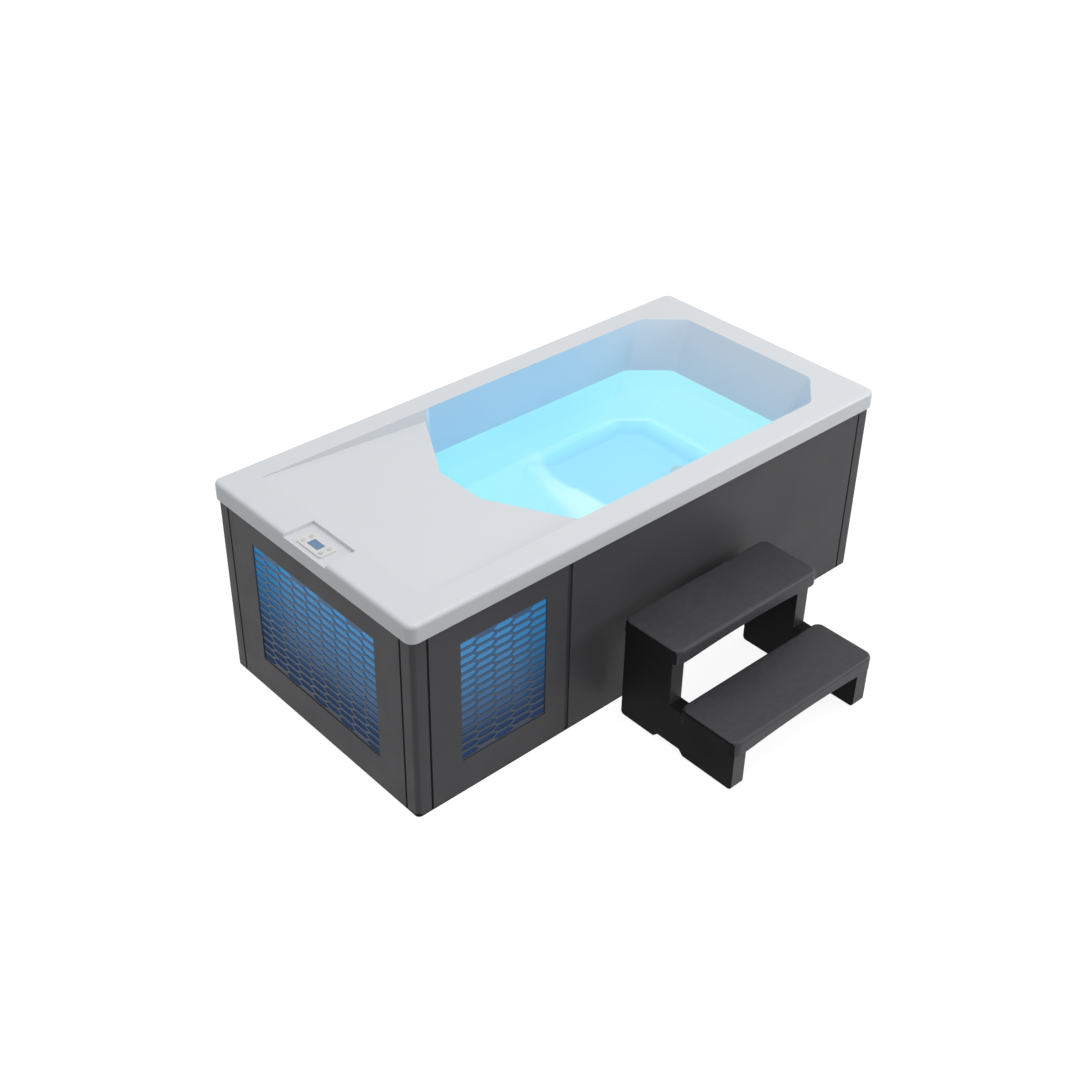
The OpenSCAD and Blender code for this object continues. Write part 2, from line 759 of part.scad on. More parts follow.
module button(i) {
    p = button_places[i];
    color("#a9b0b6") at_keypad() translate([p[0], p[1], button_stroke + button_fit])
        cylinder(r = button_r, h = keypad_t + button_high - button_stroke - button_fit);
}

// Cooling unit
coil_x = -face_x + 110;
coil_t = 44;
coil_half = 170;
coil_h = 310;
fan_x = coil_x + coil_t;
fan_z = pan_t + 20 + coil_h / 2;
fan_r = 132;
shroud_t = 46;
fan_hub_r = 26;
fan_shaft_r = 5;
fan_motor_r = 42;
fan_motor_l = 56;
module condenser_coil() {
    fin = 12;
    color("silver") difference() {
        union() {
            block([coil_x, fan_x], [-coil_half, coil_half], [pan_t, pan_t + 20 + coil_h]);
            for (k = [0 : 5]) mirrored_y()
                translate([coil_x + coil_t / 2, coil_half - eps, fan_z - coil_h / 2 + (k + 0.5) * coil_h / 6])
                    rotate([-90, 0, 0]) cylinder(r = 6, h = 14);
        }
        for (k = [0 : coil_h / fin - 2])
            block([coil_x - eps, coil_x + 8], [-coil_half + 10, coil_half - 10],
                  [fan_z - coil_h / 2 + fin * (k + 0.7), fan_z - coil_h / 2 + fin * (k + 1.1)]);
    }
}
module fan_shroud() {
    color("#2b2b2d") difference() {
        union() {
            block([fan_x, fan_x + 5], [-coil_half, coil_half], [pan_t, fan_z + coil_h / 2]);
            translate([0, 0, fan_z]) round_x(fan_x, fan_x + shroud_t, fan_r + 8);
        }
        translate([0, 0, fan_z]) round_x(fan_x - eps, fan_x + shroud_t + eps, fan_r + 4);
    }
    color("#2b2b2d") translate([0, 0, fan_z]) {
        difference() {
            for (a = [45, 135]) rotate([a, 0, 0])
                block([fan_x + shroud_t - 6, fan_x + shroud_t], [-fan_r - 6, fan_r + 6], [-7, 7]);
            round_x(fan_x, fan_x + 2 * shroud_t, fan_motor_r - 6);
        }
        ring_x(fan_x + shroud_t - 6, fan_x + shroud_t, fan_motor_r, fan_motor_r - 6);
    }
}
module fan_motor() {
    x = fan_x + shroud_t;
    color("#55585c") translate([0, 0, fan_z]) {
        round_x(x, x + fan_motor_l, fan_motor_r);
        round_x(x - 6, x + eps, fan_motor_r - 6 - fit);
        round_x(fan_x + 8, x, fan_shaft_r);
    }
}
module fan_blades() {
    x0 = fan_x + 12;
    x1 = fan_x + 34;
    color("#1f1f21") translate([0, 0, fan_z]) difference() {
        union() {
            round_x(x0, x1, fan_hub_r);
            for (k = [0 : 4]) rotate([72 * k, 0, 0])
                translate([(x0 + x1) / 2, 0, 0]) rotate([0, 0, 24])
                    block([-2, 2], [-22, 22], [fan_hub_r - 6, fan_r - 6]);
        }
        round_x(x0 - 2 * eps, x1 + 2 * eps, fan_shaft_r + run);
    }
}
compressor_r = 72;
compressor_low = 12;
compressor_high = 230;
lug_r = 14;
lug_out = compressor_r + 16;
compressor_at = [coil_x + 60, tube_y - lug_out - lug_r - 23];
module compressor() {
    color("#1d1e20") translate([compressor_at[0], compressor_at[1], pan_t]) {
        rotate_extrude() polygon([
            [0, compressor_low], [compressor_r - 8, compressor_low], [compressor_r, compressor_low + 8],
            [compressor_r, compressor_high - 40], [compressor_r - 12, compressor_high - 18],
            [compressor_r - 36, compressor_high - 4], [0, compressor_high]
        ]);
        for (a = [90, 210, 330]) rotate(a) difference() {
            union() {
                block([0, lug_out], [-16, 16], [compressor_low, compressor_low + 4]);
                translate([lug_out, 0, 0]) cylinder(r = lug_r, h = compressor_low + 4);
            }
            translate([lug_out, 0, -eps]) cylinder(r = 5, h = compressor_low + 8);
        }
        translate([20, 0, compressor_high - 10]) cylinder(r = 7, h = 40);
    }
}
exchanger_x = foam_x0 - 184;
exchanger_r = 66;
exchanger_top = 380;
module heat_exchanger() {
    color("#3f6f94") translate([exchanger_x, fitting_y, pan_t]) difference() {
        rotate_extrude() polygon([
            [0, 0], [exchanger_r, 0], [exchanger_r, exchanger_top - 60 - pan_t],
            [exchanger_r - 14, exchanger_top - 42 - pan_t], [pipe_r + 6, exchanger_top - 34 - pan_t],
            [pipe_r + 6, exchanger_top - pan_t], [0, exchanger_top - pan_t]
        ]);
        translate([0, 0, exchanger_top - 40 - pan_t]) cylinder(r = pipe_r - pipe_wall, h = 50);
    }
}

// Circulation pump, with its axis along X
pump_x = exchanger_x;
pump_y = 104 - tube_y;
pump_z = 110;
volute_r = 74;
volute_half = 40;
motor_r = 60;
motor_l = 190;
impeller_r = 54;
impeller_half = 12;
pump_shaft_r = 8;
port_top = pump_z + volute_r + 8;
module at_pump() { translate([pump_x, pump_y, pump_z]) children(); }
module pump_housing() {
    color("#2a2d31") at_pump() difference() {
        union() {
            round_x(-volute_half, volute_half, volute_r);
            round_x(volute_half - eps, volute_half + 20, pipe_r + 6);
            translate([0, 0, volute_r - 14]) cylinder(r = pipe_r + 6, h = 22);
            block([-volute_half, volute_half], [-50, 50], [pan_t - pump_z, -volute_r + 20]);
        }
        round_x(-volute_half + 10, volute_half - 10, impeller_r + 8);
        round_x(volute_half - 12, volute_half + 21, pipe_r - pipe_wall);
        translate([0, 0, impeller_r - 10]) cylinder(r = pipe_r - pipe_wall, h = 60);
        round_x(-volute_half - eps, -volute_half + 12, pump_shaft_r + 1);
    }
}
module pump_motor() {
    color("#55595e") at_pump() {
        round_x(-volute_half - motor_l, -volute_half, motor_r);
        for (k = [0 : 11]) rotate([30 * k, 0, 0])
            block([-volute_half - motor_l + 30, -volute_half - 20], [-2, 2], [motor_r - eps, motor_r + 6]);
        block([-volute_half - motor_l + 40, -volute_half - 40], [-44, 44], [pan_t - pump_z, -motor_r + 14]);
        round_x(-volute_half - eps, impeller_half, pump_shaft_r);
    }
}
module pump_impeller() {
    color("#c9c9c4") at_pump() difference() {
        union() {
            round_x(-impeller_half, -impeller_half + 4, impeller_r);
            round_x(-impeller_half, impeller_half, pump_shaft_r + 8);
            for (k = [0 : 5]) rotate([60 * k, 0, 0])
                block([-impeller_half, impeller_half - 4], [-2, 2], [pump_shaft_r + 4, impeller_r - 3]);
        }
        round_x(-impeller_half - 2 * eps, impeller_half + 2 * eps, pump_shaft_r + run);
    }
}

// Filter canister
filter_r = 78;
filter_wall = 6;
filter_top = 360;
port_z = 250;
port_drop = 60;
out_z = port_z - port_drop;
lid_seat = 12;
lid_r = filter_r + 14;
lid_knob_r = 5;
filter_y = fitting_y - exchanger_r - lid_r - lid_knob_r - 16;
module at_filter() { translate([pump_x, filter_y, 0]) children(); }
module filter_housing() {
    color("#34373b") difference() {
        at_filter() difference() {
            union() {
                translate([0, 0, pan_t]) cylinder(r = filter_r, h = filter_top - pan_t);
                translate([0, 0, filter_top - 30]) cylinder(r = filter_r + 4, h = 12);
            }
            translate([0, 0, pan_t + 10]) cylinder(r = filter_r - filter_wall, h = filter_top);
        }
        rod([pump_x, filter_y - filter_r - eps, port_z], [pump_x, filter_y, port_z], pipe_r - pipe_wall);
        rod([pump_x, filter_y, out_z], [pump_x, filter_y + filter_r + eps, out_z], pipe_r - pipe_wall);
    }
}
module filter_cartridge() {
    pleats = 36;
    r = filter_r - filter_wall - 10;
    color("white") at_filter() translate([0, 0, pan_t + 10]) difference() {
        union() {
            linear_extrude(filter_top - pan_t - 40)
                polygon([for (i = [0 : 2 * pleats - 1])
                    let (q = 180 * i / pleats, s = r - (i % 2) * 7) s * [cos(q), sin(q)]]);
            cylinder(r = r + 4, h = 10);
            translate([0, 0, filter_top - pan_t - 50]) cylinder(r = r + 4, h = 10);
        }
        translate([0, 0, -eps]) cylinder(r = 26, h = filter_top);
    }
}
module filter_lid() {
    color("#1f2124") at_filter() {
        difference() {
            union() {
                translate([0, 0, filter_top - lid_seat]) cylinder(r = lid_r, h = lid_seat + 16);
                for (k = [0 : 11]) rotate(30 * k)
                    translate([lid_r, 0, filter_top - lid_seat]) cylinder(r = lid_knob_r, h = lid_seat + 16);
            }
            translate([0, 0, filter_top - lid_seat - eps])
                cylinder(r = filter_r + run, h = lid_seat + eps + fit);
        }
        block([-50, 50], [-8, 8], [filter_top + 15, filter_top + 34]);
    }
}

// Box for the electrics, hung on the cross rail, with a lid on its front
module control_box() {
    box_t = 96;
    lid_t = 12;
    edge = 10;
    box_w = 250;
    box_h = 190;
    y = [tube_y - baffle_t - 31 - box_w, tube_y - baffle_t - 31];
    z = [cross_z + tube_s - box_h, cross_z + tube_s];
    color("#8d9296") difference() {
        block([cross_x - box_t, cross_x], y, z);
        block([cross_x - box_t - eps, cross_x - box_t + lid_t],
              [y[0] + edge, y[1] - edge], [z[0] + edge, z[1] - edge]);
    }
    color("#a6abb0")
        block([cross_x - box_t, cross_x - box_t + lid_t],
              [y[0] + edge + fit, y[1] - edge - fit], [z[0] + edge + fit, z[1] - edge - fit]);
}

// The four pipes of the water circuit
turn_back = 66;
turn_rise = 64;
turn_x = foam_x0 - turn_back;
over_z = exchanger_top + turn_rise;
module circulation_pipes() {
    color("#e6e8ea") {
        hollow_run([[fitting_back, -fitting_y, fitting_z], [turn_x, -fitting_y, fitting_z],
                    [turn_x, pump_y, fitting_z], [turn_x, pump_y, pump_z],
                    [pump_x + volute_half + 20, pump_y, pump_z]], pipe_r);
        hollow_run([[pump_x, pump_y, port_top], [pump_x, pump_y, port_z],
                    [pump_x, filter_y - filter_r - fit, port_z]], pipe_r);
        hollow_run([[pump_x, filter_y + filter_r + fit, out_z],
                    [pump_x, fitting_y - exchanger_r - fit, out_z]], pipe_r);
        hollow_run([[exchanger_x, fitting_y, exchanger_top], [exchanger_x, fitting_y, over_z],
                    [turn_x, fitting_y, over_z], [turn_x, fitting_y, fitting_z],
                    [fitting_back, fitting_y, fitting_z]], pipe_r);
    }
}
// Wall fitting: flange inside the basin, threaded tail and a nut outside
module wall_fitting(bore) {
    r = fitting_r - fit;
    difference() {
        union() {
            round_x(open_x0, open_x0 + flange_t, flange_r);
            round_x(fitting_back, open_x0 + eps, r);
            round_x(fitting_back, fitting_back + nut_t, flange_r);
        }
        round_x(fitting_back - eps, open_x0 + flange_t + eps, bore);
    }
}
module suction_fitting() {
    slot_pitch = 7;
    slot_w = 3;
    color("#d8dcdf") translate([0, -fitting_y, fitting_z]) {
        wall_fitting(fitting_r - 6);
        difference() {
            round_x(open_x0 + flange_t - eps, open_x0 + flange_t + 4, flange_r - 3);
            for (k = [-3 : 3])
                block([open_x0 + flange_t - 2 * eps, open_x0 + flange_t + 5], [-20, 20],
                      [k * slot_pitch - slot_w / 2, k * slot_pitch + slot_w / 2]);
        }
    }
}
ring_r = flange_r - 8;
module return_jet() {
    color("#d8dcdf") translate([0, fitting_y, fitting_z]) difference() {
        union() {
            wall_fitting(fitting_r - 10);
            ring_x(open_x0 + flange_t - eps, open_x0 + flange_t + 5, flange_r, ring_r + run);
        }
    }
}
module jet_ring() {
    color("#b9c0c5") translate([0, fitting_y, fitting_z]) difference() {
        union() {
            round_x(open_x0 + flange_t + fit, open_x0 + flange_t + 8, ring_r);
            block([open_x0 + flange_t + 7, open_x0 + flange_t + 13], [-ring_r + 3, ring_r - 3], [-3, 3]);
        }
        for (s = [-1, 1]) translate([0, 0, s * 12])
            round_x(open_x0 + flange_t - eps, open_x0 + flange_t + 14, 6);
    }
}
module basin_light() {
    color([0.75, 0.95, 1]) translate([0, 0, light_z]) {
        round_x(open_x0, open_x0 + flange_t, light_r);
        round_x(fitting_back, open_x0 + eps, light_body_r - fit);
        round_x(fitting_back, fitting_back + nut_t, light_r);
    }
}
module cable_gland() {
    bore = 6;
    color("#1c1c1e") far_side() translate([gland_x, 0, gland_z]) rotate([-90, 0, 0]) difference() {
        union() {
            translate([0, 0, -gland_hex_t]) cylinder(r = gland_hex_r, h = gland_hex_t, $fn = 6);
            translate([0, 0, -gland_out]) cylinder(r = gland_r + 1, h = gland_out);
            translate([0, 0, -eps]) cylinder(r = gland_r - fit, h = panel_t + 2 * gland_hex_t);
            translate([0, 0, panel_t]) cylinder(r = gland_hex_r, h = gland_hex_t, $fn = 6);
        }
        translate([0, 0, -gland_out - eps])
            cylinder(r = bore, h = panel_t + 2 * gland_hex_t + gland_out + 2 * eps);
    }
}

// Drain: strainer in the footwell, pipe below it, ball valve with a lever behind the hatch
valve_x0 = face_x - 136;
valve_x1 = face_x - 66;
valve_mid = (valve_x0 + valve_x1) / 2;
stem_r = 6;
stem_top = drain_z + 46;
lever_l = 84;
module drain_fitting() {
    low = well_h - shell_t - drain_tail;
    color("#c9ced2") translate([drain_x, 0, low]) difference() {
        union() {
            translate([0, 0, drain_tail + shell_t]) cylinder(r = drain_hole_r + 12, h = 4);
            cylinder(r = drain_hole_r - fit, h = drain_tail + shell_t + eps);
            cylinder(r = drain_hole_r + 8, h = drain_tail - fit);
        }
        translate([0, 0, -eps]) cylinder(r = drain_r - pipe_wall, h = drain_tail + shell_t);
        for (k = [0 : 7]) rotate(45 * k) translate([12, 0, drain_tail + shell_t - 2]) cylinder(r = 3, h = 8);
    }
}
module drain_pipe() {
    color("#e6e8ea")
        hollow_run([[drain_x, 0, well_h - shell_t - drain_tail], [drain_x, 0, drain_z],
                    [valve_x0, 0, drain_z]], drain_r);
}
module drain_valve() {
    color("#b9a36a") translate([0, 0, drain_z]) difference() {
        union() {
            round_x(valve_x0, valve_x1, drain_r);
            round_x(valve_x0, valve_x0 + 14, drain_r + 4);
            round_x(valve_x1 - 14, valve_x1, drain_r + 4);
            round_x(valve_x1 - eps, face_x - 4, hose_r);
            translate([valve_mid, 0, 0]) cylinder(r = stem_r + 6, h = stem_top - drain_z - 12);
            translate([valve_mid, 0, 0]) cylinder(r = stem_r, h = stem_top - drain_z);
        }
        round_x(valve_x0 - eps, valve_mid - 12, drain_r - pipe_wall);
        round_x(valve_mid + 12, face_x, hose_r - 2.5);
    }
}
module drain_handle() {
    z = [stem_top - 12 + fit, stem_top - 4];
    color("firebrick") translate([valve_mid, 0, 0]) difference() {
        union() {
            translate([0, 0, z[0]]) cylinder(r = stem_r + 7, h = z[1] - z[0]);
            block([-8, 8], [0, lever_l], z);
            translate([0, lever_l, z[0]]) cylinder(r = 8, h = z[1] - z[0]);
        }
        translate([0, 0, z[0] - eps]) cylinder(r = stem_r + run, h = 20);
    }
}

// Step unit
step_x0 = step_x - step_w / 2;
step_x1 = step_x + step_w / 2;
upper_y1 = -half_w - step_off;
upper_y0 = upper_y1 - tread_upper_d;
lower_y1 = upper_y0 - tread_gap;
lower_y0 = lower_y1 - tread_lower_d;
upper_z = 2 * step_rise;
side_in = 8;           // how far the sides stand back from the treads' long edges
upper_in = 26;         // and from the upper tread's front edge
tread_corner_r = 30;
// Tread with an arched skirt, ribs below its skin and a pocket over each side moulding.
// The mouldings start front_in behind its front edge, and rear_open says that they run on past its rear.
module tread(y0, y1, z, front_in, rear_open) {
    half = (y1 - y0) / 2;
    inner = step_w / 2 - tread_over - side_t;
    skin = 2 * step_wall;
    skirt = 2 * step_wall;
    seat = tread_t / 2;
    arc = 12;
    ribs = 4;
    edges = concat([[0, -tread_t]],
                   [for (a = [0 : 22.5 : 90]) tread_edge * [1 - cos(a), sin(a) - 1]]);
    translate([step_x, (y0 + y1) / 2, z]) {
        difference() {
            loft([for (q = edges)
                lift(rounded(rectangle(step_w / 2 - q[0], half - q[0]),
                             tread_corner_r - q[0], corner_seg), q[1])]);
            for (k = [0 : ribs]) {
                w = 2 * inner / (ribs + 1);
                block([-inner + k * w + step_wall / 2, -inner + (k + 1) * w - step_wall / 2],
                      [skirt - half, half - skirt], [-tread_t - eps, -skin]);
            }
            translate([0, 2 * half, -tread_t - eps]) rotate([90, 0, 0]) linear_extrude(4 * half)
                polygon([
                    for (i = [0 : arc])
                        let (q = i / arc) [inner * (2 * q - 1), eps + 4 * tread_arch * q * (1 - q)],
                    [inner, 0], [-inner, 0]
                ]);
            for (s = [-1, 1])
                translate([s * (inner + side_t / 2), 0, 0])
                    block([-side_t / 2 - fit, side_t / 2 + fit],
                          [front_in - half - fit, half - (rear_open ? -eps : side_in - fit)],
                          [-tread_t - eps, -seat]);
        }
    }
}
// Side moulding: one profile with an arch below, hollow under each tread
module step_side(x0) {
    arch = 18;
    arch_y = [205, 334];
    y_front = lower_y0 + side_in;
    y_back = upper_y1 - side_in;
    y_step = upper_y0 + upper_in;
    z_low = step_rise - tread_t / 2;
    z_high = upper_z - tread_t / 2;
    r = 14;
    w = step_wall;
    difference() {
        translate([x0, 0, 0]) rotate([90, 0, 90]) linear_extrude(side_t) polygon(concat(
            [for (q = [180 : 22.5 : 270]) [y_front + r + r * cos(q), foot_t + r + r * sin(q)]],
            [[y_front + arch_y[0], foot_t], [y_front + arch_y[0] + arch, foot_t + arch],
             [y_front + arch_y[1] - arch, foot_t + arch], [y_front + arch_y[1], foot_t]],
            [for (q = [270 : 22.5 : 360]) [y_back - r + r * cos(q), foot_t + r + r * sin(q)]],
            [[y_back, z_high], [y_step, z_high], [y_step, z_low], [y_front, z_low]]
        ));
        block([x0 + w, x0 + side_t - w], [y_front + w, lower_y1 - 2 * side_in],
              [foot_t + arch + w, z_low + eps]);
        block([x0 + w, x0 + side_t - w], [y_step + w, y_back - w], [foot_t + arch + w, z_high + eps]);
    }
}
side_left_x = step_x0 + tread_over;
side_right_x = step_x1 - tread_over - side_t;
module step_side_left() { color("#242426") step_side(side_left_x); }
module step_side_right() { color("#242426") step_side(side_right_x); }
module step_tread_upper() { color("#48484c") tread(upper_y0, upper_y1, upper_z, upper_in, false); }
module step_tread_lower() { color("#4c4c50") tread(lower_y0, lower_y1, step_rise, side_in, true); }
// Board between the sides, high up at the back
module step_brace() {
    brace_t = 16;
    brace_h = 66;
    y = upper_y1 - side_in - step_wall;
    color("#242426") block([side_left_x + side_t, side_right_x], [y - brace_t, y],
                           [upper_z - tread_t - brace_h, upper_z - tread_t]);
}
module step_feet() {
    y_front = lower_y0 + side_in;
    foot_l = 30;
    edge = 8;
    color("#111112") for (x = [side_left_x, side_right_x])
        for (y = [y_front + 24, y_front + 140, y_front + 350, upper_y1 - side_in - 24 - foot_l])
            block([x + edge, x + side_t - edge], [y, y + foot_l], [0, foot_t]);
}

tub_shell();
foam_jacket();
base_pan();
lower_frame();
upper_frame();
frame_uprights();
rim_board();
cradle_beams();
side_panel_near();
side_panel_far();
bay_panel_near();
bay_panel_far();
service_end_panel();
foot_end_panel();
post_at(0);  // corner_post_1
post_at(1);  // corner_post_2
post_at(2);  // corner_post_3
post_at(3);  // corner_post_4
seam_strips();
panel_screws();
grille_end();
grille_near();
grille_far();
light_baffles();
led_strips();
control_panel();
display_lens();
button(0);  // button_warmer
button(1);  // button_cooler
button(2);  // button_light
button(3);  // button_filter
compressor();
condenser_coil();
fan_shroud();
fan_motor();
fan_blades();
heat_exchanger();
pump_housing();
pump_motor();
pump_impeller();
filter_housing();
filter_cartridge();
filter_lid();
control_box();
circulation_pipes();
suction_fitting();
return_jet();
jet_ring();
basin_light();
cable_gland();
drain_fitting();
drain_pipe();
drain_valve();
drain_handle();
step_side_left();
step_side_right();
step_tread_upper();
step_tread_lower();
step_brace();
step_feet();
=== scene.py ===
# %% [markdown]
# # A cold plunge tub with its steps
#
# The solids of the tub come in finished: shell, cabinet, grilles, cooling unit and steps. This file
# gives them what the eye looks for. Edges that a mould or a saw leaves a little round are rounded,
# every surface gets its own finish, the basin is filled with lit water, and a camera and soft
# studio lamps are set up. All sizes are metres. X runs along the tub, Z is up, and the steps stand
# on the -Y side.

# %% Load the solids
import json
import math

import bpy
from mathutils import Matrix, Vector

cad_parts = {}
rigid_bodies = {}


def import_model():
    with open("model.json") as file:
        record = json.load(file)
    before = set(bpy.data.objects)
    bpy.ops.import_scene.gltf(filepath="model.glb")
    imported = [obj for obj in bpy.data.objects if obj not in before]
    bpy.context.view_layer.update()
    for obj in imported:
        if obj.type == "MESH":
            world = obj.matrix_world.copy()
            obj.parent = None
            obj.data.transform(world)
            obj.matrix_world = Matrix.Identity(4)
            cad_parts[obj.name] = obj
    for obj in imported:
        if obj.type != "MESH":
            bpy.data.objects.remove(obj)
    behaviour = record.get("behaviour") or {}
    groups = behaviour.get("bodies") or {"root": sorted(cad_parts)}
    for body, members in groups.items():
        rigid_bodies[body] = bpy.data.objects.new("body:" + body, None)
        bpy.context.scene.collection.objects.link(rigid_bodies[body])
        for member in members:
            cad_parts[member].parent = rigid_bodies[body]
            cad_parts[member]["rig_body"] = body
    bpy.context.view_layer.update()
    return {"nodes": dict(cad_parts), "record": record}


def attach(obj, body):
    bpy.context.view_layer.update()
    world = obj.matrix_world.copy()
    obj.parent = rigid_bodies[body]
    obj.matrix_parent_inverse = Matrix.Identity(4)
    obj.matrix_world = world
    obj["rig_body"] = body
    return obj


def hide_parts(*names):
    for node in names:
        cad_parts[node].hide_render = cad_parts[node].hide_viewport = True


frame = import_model()
node = frame["nodes"]
slot_of = {part["node"]: part["material_slot"] for part in frame["record"]["subparts"]}


def rounded(point, digits=3):
    """A point with few digits, for printing."""
    return tuple(round(v, digits) for v in point)


# %% [markdown]
# ## Camera
#
# A camera could be placed by eye, but here the straight edges of the tub fix it: the three sets of
# parallel edges give the direction of view, and the tub's length gives the distance. The camera
# stands about five metres off, looks down by 35 degrees, and its lens is 51 mm.

# %% Camera
CAMERA_PLACE = Vector((-2.990, -3.158, 3.324))
AZIMUTH = math.radians(-42.61)
ELEVATION = math.radians(34.83)
ROLL = math.radians(1.015)
LENS_MM, SENSOR_MM = 51.32, 36

back = Vector((
    math.sin(AZIMUTH) * math.cos(ELEVATION),
    -math.cos(AZIMUTH) * math.cos(ELEVATION),
    math.sin(ELEVATION),
))
level = (-back).cross(Vector((0, 0, 1))).normalized()
upright = level.cross(-back)
right = level * math.cos(ROLL) + upright * math.sin(ROLL)
up = upright * math.cos(ROLL) - level * math.sin(ROLL)
turn = Matrix((right, up, back)).transposed().to_4x4()

scene = bpy.context.scene
camera = bpy.data.objects.new("camera", bpy.data.cameras.new("camera"))
scene.collection.objects.link(camera)
camera.data.sensor_width = SENSOR_MM
camera.data.lens = LENS_MM
camera.matrix_world = Matrix.Translation(CAMERA_PLACE) @ turn
scene.camera = camera
print("camera at", rounded(CAMERA_PLACE), "with a lens of", LENS_MM, "mm")

# %% [markdown]
# ## Studio
#
# The object is shown on white. A white floor would throw light up at the dark skirts, so the floor
# is a dark grey that looks white only where the camera, a reflection or the water sees it, and it
# keeps a trace of the tub's soft shadow. The world could be an even dome. This one is a little
# brighter towards the front right, so that the cabinet's two visible sides differ in tone, and it
# is dimmer as a lamp than as a backdrop.

# %% Helpers for nodes


def add(tree, kind, values=None, **settings):
    """A new node, with its settings and the default values of its inputs."""
    made = tree.nodes.new(kind)
    for name, value in settings.items():
        setattr(made, name, value)
    for name, value in (values or {}).items():
        made.inputs[name].default_value = value
    return made


def feed(tree, source, socket):
    """Links an output to an input, or sets a plain value on it."""
    if isinstance(source, bpy.types.NodeSocket):
        tree.links.new(source, socket)
    else:
        socket.default_value = source


def maths(tree, operation, a, b):
    """One sum with two values or outputs."""
    made = add(tree, "ShaderNodeMath", operation=operation)
    feed(tree, a, made.inputs[0])
    feed(tree, b, made.inputs[1])
    return made.outputs[0]


def span(tree, value, low, high, to_low=0.0, to_high=1.0, kind="LINEAR"):
    """A value's range stretched onto another range, and held at its ends."""
    made = add(tree, "ShaderNodeMapRange", interpolation_type=kind)
    ends = {"Value": value, "From Min": low, "From Max": high, "To Min": to_low, "To Max": to_high}
    for name, source in ends.items():
        feed(tree, source, made.inputs[name])
    return made.outputs["Result"]


# %% Two looks for one surface


def seen_directly(tree):
    """1 where the camera, a reflection or a clear surface looks straight at it, else 0."""
    path = add(tree, "ShaderNodeLightPath")
    value = path.outputs["Is Camera Ray"]
    for other in ("Is Glossy Ray", "Is Transmission Ray"):
        value = maths(tree, "MAXIMUM", value, path.outputs[other])
    return value


def two_looks(tree, as_lamp, as_seen, output):
    """One shader for the light thrown on the object, another for the eye, into an output node."""
    choose = add(tree, "ShaderNodeMixShader")
    tree.links.new(seen_directly(tree), choose.inputs["Fac"])
    tree.links.new(as_lamp.outputs[0], choose.inputs[1])
    tree.links.new(as_seen.outputs[0], choose.inputs[2])
    tree.links.new(choose.outputs[0], add(tree, output).inputs["Surface"])


# %% World
DOME_COLOUR = (0.96, 0.98, 1, 1)
DOME_DIM, DOME_BRIGHT = 0.48, 0.60
BRIGHT_SIDE = (0.75, -0.65, 0)

scene.view_settings.view_transform = "Standard"
world = bpy.data.worlds.new("studio dome")
scene.world = world
world.use_nodes = True
tree = world.node_tree
tree.nodes.clear()
towards = add(tree, "ShaderNodeVectorMath", operation="DOT_PRODUCT")
towards.inputs[1].default_value = BRIGHT_SIDE
tree.links.new(add(tree, "ShaderNodeTexCoord").outputs["Generated"], towards.inputs[0])
dome = add(tree, "ShaderNodeBackground", {"Color": DOME_COLOUR})
strength = span(tree, towards.outputs["Value"], -1, 1, DOME_DIM, DOME_BRIGHT)
tree.links.new(strength, dome.inputs["Strength"])
backdrop = add(tree, "ShaderNodeBackground", {"Color": (1, 1, 1, 1), "Strength": 1})
two_looks(tree, dome, backdrop, "ShaderNodeOutputWorld")
print("dome strength from", DOME_DIM, "to", DOME_BRIGHT)

# %% Floor
FLOOR_SIZE = 60
FLOOR_DROP = 0.0005
FLOOR_GREY = (0.22, 0.22, 0.22, 1)
FLOOR_LIFT = 0.92

bpy.ops.object.select_all(action="DESELECT")
bpy.ops.mesh.primitive_plane_add(size=FLOOR_SIZE, location=(0, 0, -FLOOR_DROP))
floor = bpy.context.object
floor.name = "floor"
floor_paint = bpy.data.materials.new("floor")
floor_paint.use_nodes = True
tree = floor_paint.node_tree
tree.nodes.clear()
matt = add(tree, "ShaderNodeBsdfDiffuse", {"Color": FLOOR_GREY})
lift = add(tree, "ShaderNodeEmission", {"Strength": FLOOR_LIFT})
lifted = add(tree, "ShaderNodeAddShader")
tree.links.new(matt.outputs[0], lifted.inputs[0])
tree.links.new(lift.outputs[0], lifted.inputs[1])
two_looks(tree, matt, lifted, "ShaderNodeOutputMaterial")
floor.data.materials.append(floor_paint)
print("floor of", FLOOR_SIZE, "m")

# %% [markdown]
# ## Lamps
#
# A small lamp would draw hard shadows, and this object is shown in soft light. A broad soft box
# hangs overhead and makes the rim the brightest surface. A smaller one stands low at the front
# right, where it lights the long side and the fronts of the steps.

# %% Lamps


def lamp(name, place, aim, size, watts):
    """A square soft box that looks from one point to another."""
    light = bpy.data.lights.new(name, "AREA")
    light.shape = "SQUARE"
    light.size = size
    light.energy = watts
    box = bpy.data.objects.new(name, light)
    scene.collection.objects.link(box)
    box.location = place
    box.rotation_euler = (Vector(place) - Vector(aim)).to_track_quat("Z", "Y").to_euler()
    print("lamp:", name, size, "m wide,", watts, "W")


lamp("overhead", place=(0.1, -0.8, 5.2), aim=(0.1, -0.3, 0.5), size=3.6, watts=88)
lamp("fill", place=(3.4, -3.2, 1.9), aim=(0.8, -0.5, 0.4), size=1.6, watts=48)

# %% [markdown]
# ## Helpers for paint
#
# Colours are written as they look on a screen, from 0 to 255, and turned into the linear numbers
# that a renderer counts in. Effects that many finishes share are node groups, built once: a group
# has named sockets, and every material sets its own values on them. The shader itself stays in
# the material.

# %% Colours


